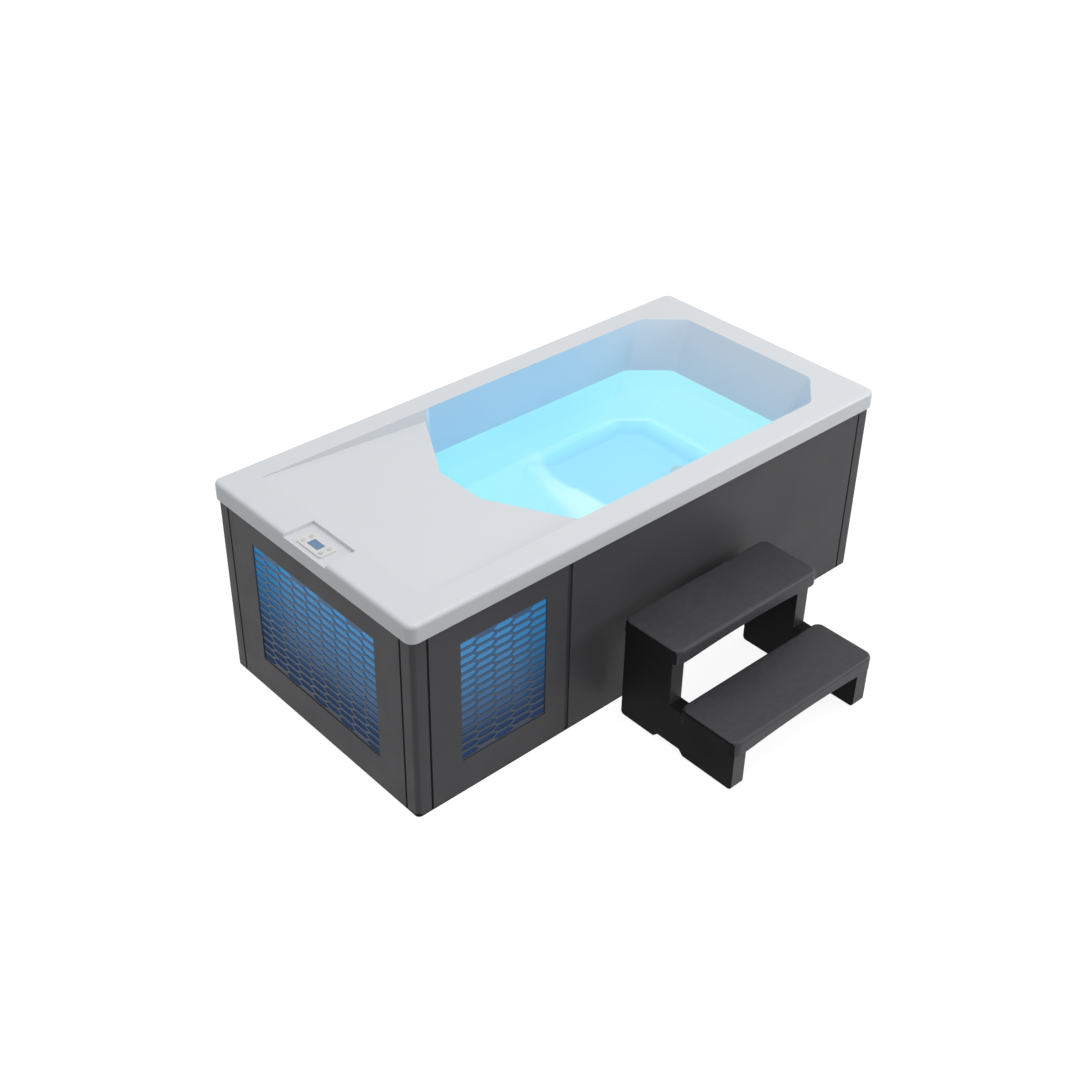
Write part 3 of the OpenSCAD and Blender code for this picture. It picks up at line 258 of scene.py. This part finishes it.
def tint(red, green, blue):
    """Linear colour from screen values, by the curve that screens follow."""
    def linear(v):
        v /= 255
        return v / 12.92 if v <= 0.04045 else ((v + 0.055) / 1.055) ** 2.4
    return (linear(red), linear(green), linear(blue), 1)


BLACK = (0, 0, 0, 1)
MIX_FACTOR, MIX_A, MIX_B, MIX_RESULT = 0, 6, 7, 2


def mix(tree, factor, a, b):
    """A colour mix. A mix node has sockets for several kinds of data, the colours at 6 and 7."""
    made = add(tree, "ShaderNodeMix", data_type="RGBA")
    feed(tree, factor, made.inputs[MIX_FACTOR])
    feed(tree, a, made.inputs[MIX_A])
    feed(tree, b, made.inputs[MIX_B])
    return made.outputs[MIX_RESULT]


print("mid grey is", round(tint(128, 128, 128)[0], 3), "in linear light")

# %% Places, patterns and relief


def object_place(tree):
    """The place of a point on its piece, in metres."""
    return add(tree, "ShaderNodeTexCoord").outputs["Object"]


def apart(tree, vector):
    """The X, Y and Z of a vector."""
    made = add(tree, "ShaderNodeSeparateXYZ")
    tree.links.new(vector, made.inputs[0])
    return made.outputs["X"], made.outputs["Y"], made.outputs["Z"]


def stretched(tree, scale):
    """Places multiplied along each axis: a pattern on them is drawn out where the number is small."""
    made = add(tree, "ShaderNodeMapping", {"Scale": scale})
    tree.links.new(object_place(tree), made.inputs["Vector"])
    return made.outputs[0]


def noise(tree, place, scale, **values):
    """A noise at a place, with its scale from a number or an output."""
    made = add(tree, "ShaderNodeTexNoise", values)
    tree.links.new(place, made.inputs["Vector"])
    feed(tree, scale, made.inputs["Scale"])
    return made.outputs["Fac"]


def relief(tree, shader, height, strength, distance):
    """Fine relief on a shader, from a height that changes over the surface."""
    made = add(tree, "ShaderNodeBump", {"Strength": strength, "Distance": distance})
    tree.links.new(height, made.inputs["Height"])
    tree.links.new(made.outputs[0], shader.inputs["Normal"])


# %% Groups
NUMBER, COLOUR = "NodeSocketFloat", "NodeSocketColor"


def group(name, inputs, outputs):
    """An empty node group with named sockets: its tree and its two end nodes."""
    made = bpy.data.node_groups.new(name, "ShaderNodeTree")
    for label, kind, value in inputs:
        socket = made.interface.new_socket(name=label, in_out="INPUT", socket_type=kind)
        socket.default_value = value
    for label, kind in outputs:
        made.interface.new_socket(name=label, in_out="OUTPUT", socket_type=kind)
    print("group:", name)
    return made, made.nodes.new("NodeGroupInput"), made.nodes.new("NodeGroupOutput")


# %% [markdown]
# ## Shared effects
#
# Moulded plastic has a fine leathery grain from its tool, and its colour is never quite even.
# Handled and wiped surfaces have a roughness that drifts. Brushed metal has streaks along one
# direction. Dust settles on what faces up, and lit sheets fade with height. Every pattern is read
# in Object coordinates, so that it keeps its size in metres whatever the piece's size.

# %% Grain group
NOISE_LOW, NOISE_HIGH = 0.3, 0.7
FINE_SHARE, BROAD_SHARE = 0.35, 0.65

grain, put, out = group("moulded grain", [
    ("Colour", COLOUR, (0.5, 0.5, 0.5, 1)),
    ("Shade", NUMBER, 0.12),
    ("Size", NUMBER, 900.0),
    ("Patch", NUMBER, 6.0),
    ("Rough", NUMBER, 0.5),
    ("Rough drift", NUMBER, 0.06),
], [("Colour", COLOUR), ("Roughness", NUMBER), ("Height", NUMBER)])
place = object_place(grain)
fine = noise(grain, place, put.outputs["Size"], Detail=3.0, Roughness=0.55)
broad = noise(grain, place, put.outputs["Patch"], Detail=4.0, Roughness=0.6)
fine_part = maths(grain, "MULTIPLY", fine, FINE_SHARE)
broad_part = maths(grain, "MULTIPLY", broad, BROAD_SHARE)
drift = span(grain, maths(grain, "ADD", fine_part, broad_part), NOISE_LOW, NOISE_HIGH)
darker = mix(grain, put.outputs["Shade"], put.outputs["Colour"], BLACK)
grain.links.new(mix(grain, drift, darker, put.outputs["Colour"]), out.inputs["Colour"])
swing = span(grain, broad, NOISE_LOW, NOISE_HIGH, -1.0, 1.0)
swing = maths(grain, "MULTIPLY", swing, put.outputs["Rough drift"])
grain.links.new(maths(grain, "ADD", put.outputs["Rough"], swing), out.inputs["Roughness"])
grain.links.new(fine, out.inputs["Height"])

# %% Brushed group
STREAK_SCALE = (0.02, 1.0, 1.0)
STREAK_SHADE = 0.25
STREAK_SWING = 0.1

brushed, put, out = group("brushed metal", [
    ("Colour", COLOUR, (0.7, 0.7, 0.7, 1)),
    ("Across", NUMBER, 1400.0),
    ("Rough", NUMBER, 0.35),
], [("Colour", COLOUR), ("Roughness", NUMBER), ("Height", NUMBER)])
streak = noise(brushed, stretched(brushed, STREAK_SCALE), put.outputs["Across"], Detail=2.0)
bright = span(brushed, streak, NOISE_LOW, NOISE_HIGH)
darker = mix(brushed, STREAK_SHADE, put.outputs["Colour"], BLACK)
brushed.links.new(mix(brushed, bright, darker, put.outputs["Colour"]), out.inputs["Colour"])
swing = span(brushed, streak, NOISE_LOW, NOISE_HIGH, -STREAK_SWING, STREAK_SWING)
brushed.links.new(maths(brushed, "ADD", put.outputs["Rough"], swing), out.inputs["Roughness"])
brushed.links.new(streak, out.inputs["Height"])

# %% Dust group
DUST_COLOUR = tint(190, 188, 182)
FACING_UP = (0.2, 0.9)
SPECKS = (0.42, 0.7)
SPECK_SCALE = 45.0

dust, put, out = group("settled dust", [
    ("Colour", COLOUR, (0.5, 0.5, 0.5, 1)),
    ("Amount", NUMBER, 0.25),
], [("Colour", COLOUR)])
place = add(dust, "ShaderNodeTexCoord")
upward = apart(dust, place.outputs["Normal"])[2]
speck = noise(dust, place.outputs["Object"], SPECK_SCALE, Detail=6.0, Roughness=0.7)
mask = maths(dust, "MULTIPLY", span(dust, upward, *FACING_UP), span(dust, speck, *SPECKS))
mask = maths(dust, "MULTIPLY", mask, put.outputs["Amount"])
dust.links.new(mix(dust, mask, put.outputs["Colour"], DUST_COLOUR), out.inputs["Colour"])

# %% Glow group
glow, put, out = group("glow by height", [
    ("Low", COLOUR, (0, 0, 0, 1)),
    ("High", COLOUR, (1, 1, 1, 1)),
    ("Bottom", NUMBER, 0.1),
    ("Top", NUMBER, 0.6),
], [("Colour", COLOUR)])
height = apart(glow, object_place(glow))[2]
share = span(glow, height, put.outputs["Bottom"], put.outputs["Top"], kind="SMOOTHSTEP")
glow.links.new(mix(glow, share, put.outputs["Low"], put.outputs["High"]), out.inputs["Colour"])

# %% [markdown]
# ## Finishes
#
# A recipe is a function that makes one kind of finish with its own numbers. Plastics differ in
# colour, grain and shine, and painted metal is the same recipe with a clear top coat. Timber and
# foam have patterns of their own. A number that is the same all over a surface sits on the shader
# itself, and only what changes over the surface is linked.

# %% Recipes
GRAIN_DEPTH = 0.0002
finish = {}


def start(name, **values):
    """A material with one Principled shader, whose plain numbers are given by name."""
    made = bpy.data.materials.new(name)
    made.use_nodes = True
    shader = made.node_tree.nodes["Principled BSDF"]
    for label, value in values.items():
        shader.inputs[label.replace("_", " ")].default_value = value
    finish[name] = made
    return made.node_tree, shader


def apply_group(tree, shader, which, bump, **values):
    """Colour, roughness and relief of a shader from one of the shared groups."""
    made = add(tree, "ShaderNodeGroup", node_tree=which)
    for label, value in values.items():
        made.inputs[label].default_value = value
    tree.links.new(made.outputs["Colour"], shader.inputs["Base Color"])
    tree.links.new(made.outputs["Roughness"], shader.inputs["Roughness"])
    relief(tree, shader, made.outputs["Height"], strength=bump, distance=GRAIN_DEPTH)
    return made


def plastic(name, colour, rough=0.5, size=900.0, shade=0.12, bump=0.25, coat=0.0, dusty=0.0,
            **values):
    """A moulded or painted surface, with dust on it where dusty is more than 0."""
    tree, shader = start(name, Coat_Weight=coat, **values)
    base = apply_group(tree, shader, grain, bump, Colour=colour, Size=size, Shade=shade, Rough=rough)
    if dusty:
        film = add(tree, "ShaderNodeGroup", {"Amount": dusty}, node_tree=dust)
        tree.links.new(base.outputs["Colour"], film.inputs["Colour"])
        tree.links.new(film.outputs["Colour"], shader.inputs["Base Color"])


def metal(name, colour, rough=0.35, across=1400.0, bump=0.12):
    """A bare metal with streaks along X."""
    tree, shader = start(name, Metallic=1.0)
    apply_group(tree, shader, brushed, bump, Colour=colour, Rough=rough, Across=across)


# %% [markdown]
# ## Plastics, rubbers and paints
#
# The rim is glossy acrylic with almost no grain, the skirt is a fine matt plastic, and the steps
# are moulded resin with a coarse grain to stand on. Each could have a node tree of its own, but
# then a better grain would have to be made two dozen times, so all use the one recipe. The second
# acrylic is a shade darker. It is painted shade for the fold between rim and deck.

# %% Shell, skirt, steps and controls
ACRYLIC = {
    "rough": 0.42, "size": 220, "shade": 0.01, "bump": 0.012, "coat": 0.2, "Coat_Roughness": 0.15,
}
SKIRT = {"size": 1500, "Specular_IOR_Level": 0.25}
STEP = {"size": 620}

plastic("acrylic", tint(222, 225, 228), **ACRYLIC)
# painted shade: the rim's acrylic made darker for the fold between rim and deck
plastic("acrylic_painted_shade", tint(197, 200, 205), **ACRYLIC)
plastic("panel_grey", tint(75, 75, 77), rough=0.5, shade=0.1, bump=0.3, dusty=0.03, **SKIRT)
plastic("post_grey", tint(71, 71, 73), rough=0.48, shade=0.1, bump=0.25, dusty=0.03, **SKIRT)
plastic("seam_dark", tint(52, 52, 54), rough=0.5, shade=0.12, **SKIRT)
plastic("base_abs", tint(36, 36, 38), rough=0.6, size=900, bump=0.35, Specular_IOR_Level=0.25)
# painted shade: the steps' one resin made darker, for the sides and for the treads' ends and undersides
plastic("step_dark", tint(27, 27, 28), rough=0.65, shade=0.2, bump=0.4,
        Specular_IOR_Level=0.1, **STEP)
plastic("step_tread", tint(54, 54, 59), rough=0.5, shade=0.16, bump=0.45, dusty=0.02,
        Specular_IOR_Level=0.45, **STEP)
plastic("foot_rubber", tint(28, 28, 28), rough=0.8, size=700, bump=0.3)
plastic("keypad_white", tint(226, 225, 222), rough=0.35, size=700, shade=0.03, bump=0.08)
plastic("button_grey", tint(206, 209, 213), rough=0.6, size=1800, shade=0.08, bump=0.2)
plastic("fitting_white", tint(216, 220, 224), rough=0.28, size=600, shade=0.04, bump=0.05, coat=0.3)
print(len(finish), "finishes so far:", ", ".join(finish))

# %% Machinery, pipes and small parts
plastic("shroud_black", tint(38, 38, 40), rough=0.5, size=900, bump=0.3)
plastic("pump_plastic", tint(44, 46, 50), rough=0.45, size=900, bump=0.3)
plastic("impeller_plastic", tint(205, 204, 198), rough=0.45, size=900, bump=0.15)
plastic("exchanger_blue", tint(62, 108, 150), rough=0.4, size=700, bump=0.15)
plastic("box_grey", tint(148, 152, 156), rough=0.5, size=1100, bump=0.25)
plastic("pipe_white", tint(226, 228, 230), rough=0.3, size=500, shade=0.05, bump=0.06)
plastic("filter_paper", tint(236, 238, 240), rough=0.85, size=1300, shade=0.12, bump=0.4)
plastic("frame_steel", tint(58, 61, 64), rough=0.42, size=1800, bump=0.25, coat=0.25,
        Coat_Roughness=0.3)
plastic("screw_black", tint(32, 32, 33), rough=0.38, size=2500, bump=0.2, coat=0.2)
plastic("compressor_black", tint(24, 24, 26), rough=0.3, size=500, bump=0.12, coat=0.6,
        Coat_Roughness=0.1)
plastic("motor_grey", tint(86, 89, 94), rough=0.5, size=420, shade=0.2, bump=0.5, coat=0.2)
plastic("lever_red", tint(170, 42, 38), rough=0.4, size=500, bump=0.12, coat=0.3)
print(len(finish), "finishes so far")

# %% [markdown]
# ## Metals
#
# The condenser has bare aluminium fins, and the drain valve is brass. A metal could be a grey
# plastic with much shine, but only the Metallic setting gives reflections in the metal's colour.

# %% Metals
metal("coil_aluminium", tint(205, 207, 209), rough=0.42, across=900)
metal("brass", tint(190, 160, 98), rough=0.36, across=700)
print(len(finish), "finishes so far")

# %% [markdown]
# ## Timber and foam
#
# A timber board stiffens the rim, timber beams carry the shell, and a foam jacket keeps the water
# cold. The cabinet hides them, but they show when the tub is taken apart. Wood is a noise drawn out
# along one axis, as its fibre is, with a pale and a dark tone. Foam is a pattern of small cells.

# %% Timber
FIBRE_STRETCH = (6, 1, 6)
FIBRE_TONES = (0.35, 0.65)
DARK_WOOD, PALE_WOOD = tint(150, 116, 74), tint(196, 162, 112)

tree, shader = start("timber")
fibre = noise(tree, stretched(tree, FIBRE_STRETCH), scale=22.0,
              Detail=6.0, Roughness=0.6, Distortion=0.6)
wood = mix(tree, span(tree, fibre, *FIBRE_TONES), DARK_WOOD, PALE_WOOD)
tree.links.new(wood, shader.inputs["Base Color"])
rough = span(tree, fibre, NOISE_LOW, NOISE_HIGH, to_low=0.75, to_high=0.6)
tree.links.new(rough, shader.inputs["Roughness"])
relief(tree, shader, fibre, strength=0.4, distance=0.0005)
print("timber has", len(tree.nodes), "nodes")

# %% Foam
CELLS_PER_METRE = 240.0
DARK_FOAM, PALE_FOAM = tint(198, 180, 132), tint(232, 216, 172)

tree, shader = start("foam", Roughness=0.9)
cells = add(tree, "ShaderNodeTexVoronoi", {"Scale": CELLS_PER_METRE})
tree.links.new(object_place(tree), cells.inputs["Vector"])
wall = cells.outputs["Distance"]
tree.links.new(mix(tree, span(tree, wall, 0.0, 0.7), DARK_FOAM, PALE_FOAM), shader.inputs["Base Color"])
relief(tree, shader, wall, strength=0.6, distance=0.001)
print("foam has", len(tree.nodes), "nodes")

# %% [markdown]
# ## Lit pieces
#
# Behind the grilles hang opal sheets with a light strip near their tops, so the blue fades
# downwards. A real lamp behind each grille would do the same, but a glow painted into the sheet
# stays with the object in any scene. The grilles' paint has some of that light painted into it too,
# as a glow that fades downwards. The display and the basin light are lit in the same way.

# %% Opal sheets, strips, display, light and grilles


def lit(name, low, high, bottom, top, strength, base, rough=0.4):
    """A surface of its own colour that glows from one tone at the bottom to another at the top."""
    tree, shader = start(name, Emission_Strength=strength)
    apply_group(tree, shader, grain, bump=0.1, Colour=base, Size=300.0, Shade=0.06, Rough=rough)
    heights = {"Low": low, "High": high, "Bottom": bottom, "Top": top}
    light = add(tree, "ShaderNodeGroup", heights, node_tree=glow)
    tree.links.new(light.outputs["Colour"], shader.inputs["Emission Color"])
    print("lit:", name)


lit("opal_blue", low=tint(36, 54, 86), high=tint(50, 124, 176), bottom=0.12, top=0.56,
    strength=1.0, base=tint(70, 92, 116))
lit("led", low=tint(120, 205, 255), high=tint(160, 225, 255), bottom=0.55, top=0.6,
    strength=1.5, base=tint(200, 220, 230))
lit("display_blue", low=tint(84, 112, 150), high=tint(96, 124, 160), bottom=0.7, top=0.73,
    strength=0.6, base=tint(70, 92, 116), rough=0.2)
lit("light_lens", low=tint(160, 240, 255), high=tint(200, 250, 255), bottom=0.4, top=0.5,
    strength=1.2, base=tint(220, 240, 245), rough=0.25)
# painted light: the grilles' paint glows blue, brighter near the top, as if lit by the sheets behind
lit("grille_metal", low=tint(14, 20, 34), high=tint(22, 62, 96), bottom=0.12, top=0.56,
    strength=1.0, base=tint(44, 54, 66), rough=0.5)

# %% [markdown]
# ## The basin's acrylic
#
# The basin is the same acrylic as the rim, but lamps under the water colour it. Under the waterline
# it glows cyan, bluer in the footwell, and a pale beam lies on the slope in front of the seat.
# Above it the wall takes a softer blue that fades towards the foot end. A lamp under water would
# give the same look with much noise, so the glow is written into the finish by height and place.
# Each pair of numbers below says where, in metres, a change starts and where it is complete.

# %% Where the light changes
WATERLINE = 0.560
WATER_EDGE = 0.0005
WELL_Z = (0.24, 0.13)
LAMP_END_X = (1.0, 0.25)
BEAM_START_X, BEAM_END_X = (0.01, 0.10), (0.255, 0.215)
BEAM_SLANT = 0.33
BEAM_FAR_Y, BEAM_NEAR_Y = (0.48, 0.06), (-0.4, -0.15)
BEAM_DIM = 0.2
BEAM_TOP_Z = (0.27, 0.24)

tree, shader = start("basin_acrylic", Coat_Weight=0.25, Emission_Strength=1.0)
base = apply_group(tree, shader, grain, bump=0.03,
                   Colour=tint(214, 222, 228), Size=260.0, Shade=0.02, Rough=0.35)
x, y, z = apart(tree, object_place(tree))
under = span(tree, z, WATERLINE + WATER_EDGE, WATERLINE - WATER_EDGE)
in_well = span(tree, z, *WELL_Z, kind="SMOOTHSTEP")
lamp_end = span(tree, x, *LAMP_END_X, kind="SMOOTHSTEP")
slanted = maths(tree, "SUBTRACT", x, maths(tree, "MULTIPLY", y, BEAM_SLANT))
beam = span(tree, slanted, *BEAM_START_X, kind="SMOOTHSTEP")
for limit in (
    span(tree, x, *BEAM_END_X, kind="SMOOTHSTEP"),
    span(tree, y, *BEAM_FAR_Y, BEAM_DIM, 1.0, "SMOOTHSTEP"),
    span(tree, y, *BEAM_NEAR_Y, BEAM_DIM, 1.0, "SMOOTHSTEP"),
    span(tree, z, *BEAM_TOP_Z),
):
    beam = maths(tree, "MULTIPLY", beam, limit)
print("waterline at", WATERLINE, "m")

# %% Its colours
GLOW_FOOT, GLOW_LAMP = tint(141, 181, 176), tint(116, 166, 171)
GLOW_WELL, GLOW_BEAM = tint(100, 146, 170), tint(174, 187, 168)
WALL_GLOW_FOOT, WALL_GLOW_LAMP = tint(8, 18, 58), tint(16, 54, 92)
# painted light: base colours tinted blue by the lamps' light, on the wall near the lamp end and under
# the water
LIT_WALL, LIT_UNDER_WATER = tint(178, 206, 224), tint(164, 196, 206)

sunk = mix(tree, lamp_end, GLOW_FOOT, GLOW_LAMP)
sunk = mix(tree, in_well, sunk, GLOW_WELL)
sunk = mix(tree, beam, sunk, GLOW_BEAM)
above = mix(tree, lamp_end, WALL_GLOW_FOOT, WALL_GLOW_LAMP)
tree.links.new(mix(tree, under, above, sunk), shader.inputs["Emission Color"])
# painted light: the base colour itself turns blue towards the lamp end and under the waterline
dry = mix(tree, lamp_end, base.outputs["Colour"], LIT_WALL)
tree.links.new(mix(tree, under, dry, LIT_UNDER_WATER), shader.inputs["Base Color"])
print("basin acrylic has", len(tree.nodes), "nodes")

# %% [markdown]
# ## The water's finish
#
# Water is clear and bends light by its refractive index. A blue tint in the water itself would
# grow with depth, but here the light of the basin colours it, so the water is nearly colourless.
# A slow, shallow swell keeps its surface from looking like glass.

# %% Water
tree, shader = start("water", Transmission_Weight=1.0, IOR=1.333, Roughness=0.03,
                     Base_Color=tint(232, 252, 255))
ripple = noise(tree, object_place(tree), scale=7.0, Detail=2.0, Roughness=0.45, Distortion=0.3)
relief(tree, shader, ripple, strength=0.1, distance=0.004)
print(len(finish), "finishes")

# %% [markdown]
# ## Rounded edges
#
# The solids have true, sharp edges, and a sharp edge catches no light. A bevel modifier could sit
# on each solid, but its mesh is loose triangles, so a copy is taken instead: its doubles are
# merged, flat triangles are joined into whole faces, and every sharp edge is bevelled by the
# radius that its maker's tool leaves.

# %% Helpers for modelling


def edit(piece, chosen=None):
    """Opens a piece in edit mode, with the faces selected for which chosen(face) is true."""
    bpy.ops.object.select_all(action="DESELECT")
    piece.select_set(True)
    bpy.context.view_layer.objects.active = piece
    bpy.ops.object.mode_set(mode="EDIT")
    bpy.ops.mesh.select_all(action="DESELECT")
    if chosen:
        bpy.ops.object.mode_set(mode="OBJECT")
        for face in piece.data.polygons:
            face.select = chosen(face)
        bpy.ops.object.mode_set(mode="EDIT")


def done(smooth):
    """Back to object mode, with shading smooth across edges under an angle in degrees."""
    bpy.ops.object.mode_set(mode="OBJECT")
    bpy.ops.object.shade_smooth_by_angle(angle=math.radians(smooth))


# %% A softened copy
DOUBLES = 0.00001
FLAT_DEGREES, SHARP_DEGREES = 0.4, 32


def softened(name, radius, segments=2, smooth=35):
    """A copy of a solid with edges rounded by a radius, which stands for it."""
    piece = bpy.data.objects.new(name + "_soft", node[name].data.copy())
    scene.collection.objects.link(piece)
    edit(piece)
    bpy.ops.mesh.select_all(action="SELECT")
    bpy.ops.mesh.remove_doubles(threshold=DOUBLES)
    bpy.ops.mesh.dissolve_limited(angle_limit=math.radians(FLAT_DEGREES))
    bpy.ops.mesh.select_all(action="DESELECT")
    if radius:
        bpy.ops.mesh.edges_select_sharp(sharpness=math.radians(SHARP_DEGREES))
        bpy.ops.mesh.bevel(offset=radius, segments=segments, profile=0.5, affect="EDGES",
                           clamp_overlap=True)
    bpy.ops.mesh.customdata_custom_splitnormals_clear()
    done(smooth)
    bpy.ops.object.modifier_add(type="WEIGHTED_NORMAL")
    piece.modifiers[-1].keep_sharp = True
    bpy.ops.object.modifier_apply(modifier=piece.modifiers[-1].name)
    piece.data.materials.clear()
    piece.data.materials.append(finish[slot_of[name]])
    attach(piece, node[name]["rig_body"])
    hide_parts(name)
    print(f"{piece.name}: {len(piece.data.polygons)} faces")
    return piece


def second_finish(piece, name, chosen):
    """Lays one more finish on the faces for which chosen(face) is true, and gives its number."""
    piece.data.materials.append(finish[name])
    number = len(piece.data.materials) - 1
    faces = [face for face in piece.data.polygons if chosen(face)]
    for face in faces:
        face.material_index = number
    print(f"{piece.name}: {name} on {len(faces)} faces")
    return number


# %% [markdown]
# ## Finishes on the solids
#
# Every solid could get a softened copy, but the inner pieces, the grilles and the small fittings
# look right as they are, so they need no more than their finish. The drain's strainer is steel, but
# under the lit water it looks as pale as the acrylic round it, so it is given the white of the
# other fittings.

# %% Finishes on the solids
LOOKS_LIKE = {"drain_fitting": "fitting_white"}
for name, solid in node.items():
    solid.data.materials.clear()
    solid.data.materials.append(finish[LOOKS_LIKE.get(name, slot_of[name])])
print(len(node), "solids have their finish")

# %% [markdown]
# ## Cabinet
#
# The skirt is six flat panels between four corner posts, with a sunk strip where a long panel meets
# a bay panel, and a moulded pan under all. The panels could be drawn anew with their edges rounded,
# but the solids have the right size, so each is only softened by about a millimetre, as a router or
# a mould leaves it.

# %% Cabinet
PANELS = ("side_panel_near", "side_panel_far", "bay_panel_near", "bay_panel_far",
          "service_end_panel", "foot_end_panel")
for name in PANELS:
    softened(name, radius=0.0010)
for number in range(1, 5):
    softened(f"corner_post_{number}", radius=0.0012)
softened("seam_strips", radius=0.0006)
softened("base_pan", radius=0.0015)

# %% [markdown]
# ## Controls
#
# The keypad is a thin moulding with a display and four soft buttons. They are small, so a round of
# a millimetre or less is enough. The buttons get one segment more than the rest, because their
# round is large for their size.

# %% Controls
softened("control_panel", radius=0.0008)
softened("display_lens", radius=0.0003)
for name in ("button_warmer", "button_cooler", "button_light", "button_filter"):
    softened(name, radius=0.0008, segments=3)

# %% [markdown]
# ## Steps
#
# The step unit is moulded resin: two sides, two treads on them and a brace. The sides get a larger
# round than the cabinet, as hollow mouldings have. The treads' solids have their round edges
# already. The resin is one colour. Each face gets a light or a dark finish by where it looks, as
# painted light and painted shade: the fronts of the sides are as light as the tread tops, and the
# rest of the sides and the ends and undersides of the treads are dark. Two pieces could stand for
# each, but a second finish on chosen faces does it.

# %% Steps
SQUARELY, MOSTLY = 0.8, 0.7


def looks_forward(face):
    """True where a face looks to -Y."""
    return face.normal.y < -SQUARELY


def end_or_underside(face):
    """True where a face looks along the step unit or down."""
    return abs(face.normal.x) > MOSTLY or face.normal.z < -MOSTLY


# painted light: the fronts of the sides take the lighter tread finish
for name in ("step_side_left", "step_side_right"):
    second_finish(softened(name, radius=0.0040, segments=3), "step_tread", looks_forward)
# painted shade: the ends and undersides of the treads take the dark side finish
for name in ("step_tread_upper", "step_tread_lower"):
    second_finish(softened(name, radius=0, smooth=40), "step_dark", end_or_underside)
softened("step_brace", radius=0.0020)

# %% [markdown]
# ## Tub shell
#
# The shell is one sheet of acrylic, drawn into a mould while hot, and its solid has the mould's
# round edges. The basin could be cut off as a piece of its own, but a seam would show at the rim.
# So faces of the one mesh are chosen by their place and by where they look: those inside the
# opening get the lit acrylic, and the long leaning sides of the sunk deck get the darker one as
# painted shade in the fold.

# %% Tub shell
OPENING_X, OPENING_Y = (-0.4305, 0.9145), 0.4085
DECK_LOW = 0.69
BASIN_MIDDLE = Vector((0.2, 0, 0.5))
LOOKS_UP, LOOKS_DOWN = 0.3, -0.05


def in_basin(face):
    """True inside the opening, where a face looks to the middle of the basin."""
    spot, looks = face.center, face.normal
    inside = OPENING_X[0] < spot.x < OPENING_X[1] and abs(spot.y) < OPENING_Y
    deck = looks.z > LOOKS_UP and spot.z > DECK_LOW
    facing_in = (BASIN_MIDDLE - spot).dot(looks) > 0
    return inside and facing_in and not deck and looks.z >= LOOKS_DOWN


def deck_side(face):
    """True on the two long sides of the deck."""
    spot, looks = face.center, face.normal
    leaning = abs(looks.y) > MOSTLY and looks.z > LOOKS_UP
    return leaning and spot.z > DECK_LOW and abs(spot.y) < OPENING_Y


shell = softened("tub_shell", radius=0, smooth=30)
basin_number = second_finish(shell, "basin_acrylic", in_basin)
# painted shade: the deck's long leaning sides take the darker acrylic
second_finish(shell, "acrylic_painted_shade", deck_side)

# %% [markdown]
# ## Water
#
# Still water has a flat top, and everything under it looks shallower than it is, because light
# bends there. A flat sheet could stand for it, but then the seat and footwell would show at the
# wrong height. So the water is a closed body in the basin's own shape: the basin's faces are
# copied, cut off at the waterline and filled, and the body is swollen by a millimetre into the
# acrylic, which leaves no film of air between the two.

# %% Water body
OVERLAP = 0.001
FLOOR_Z = 0.125
BELOW_FLOOR = 0.0005


def not_wet(face):
    """True for what is no part of the basin, and for faces under its floor."""
    return face.material_index != basin_number or face.center.z < FLOOR_Z - BELOW_FLOOR


water = bpy.data.objects.new("water", shell.data.copy())
scene.collection.objects.link(water)
edit(water, not_wet)
bpy.ops.mesh.delete(type="FACE")
bpy.ops.mesh.select_all(action="SELECT")
bpy.ops.mesh.bisect(plane_co=(0, 0, WATERLINE - OVERLAP), plane_no=(0, 0, 1), clear_outer=True)
bpy.ops.mesh.select_all(action="DESELECT")
bpy.ops.mesh.select_non_manifold(extend=False, use_wire=False, use_multi_face=False,
                                 use_verts=False)
bpy.ops.mesh.fill_holes(sides=0)
bpy.ops.mesh.select_all(action="SELECT")
bpy.ops.mesh.normals_make_consistent(inside=False)
bpy.ops.transform.shrink_fatten(value=OVERLAP, use_even_offset=True)
bpy.ops.mesh.select_all(action="DESELECT")
bpy.ops.mesh.select_non_manifold(extend=False)
done(smooth=30)
open_edges = sum(edge.select for edge in water.data.edges)
water.data.materials.clear()
water.data.materials.append(finish["water"])
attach(water, "root")
print("water:", len(water.data.polygons), "faces,", open_edges, "open edges,",
      rounded(water.dimensions), "m")
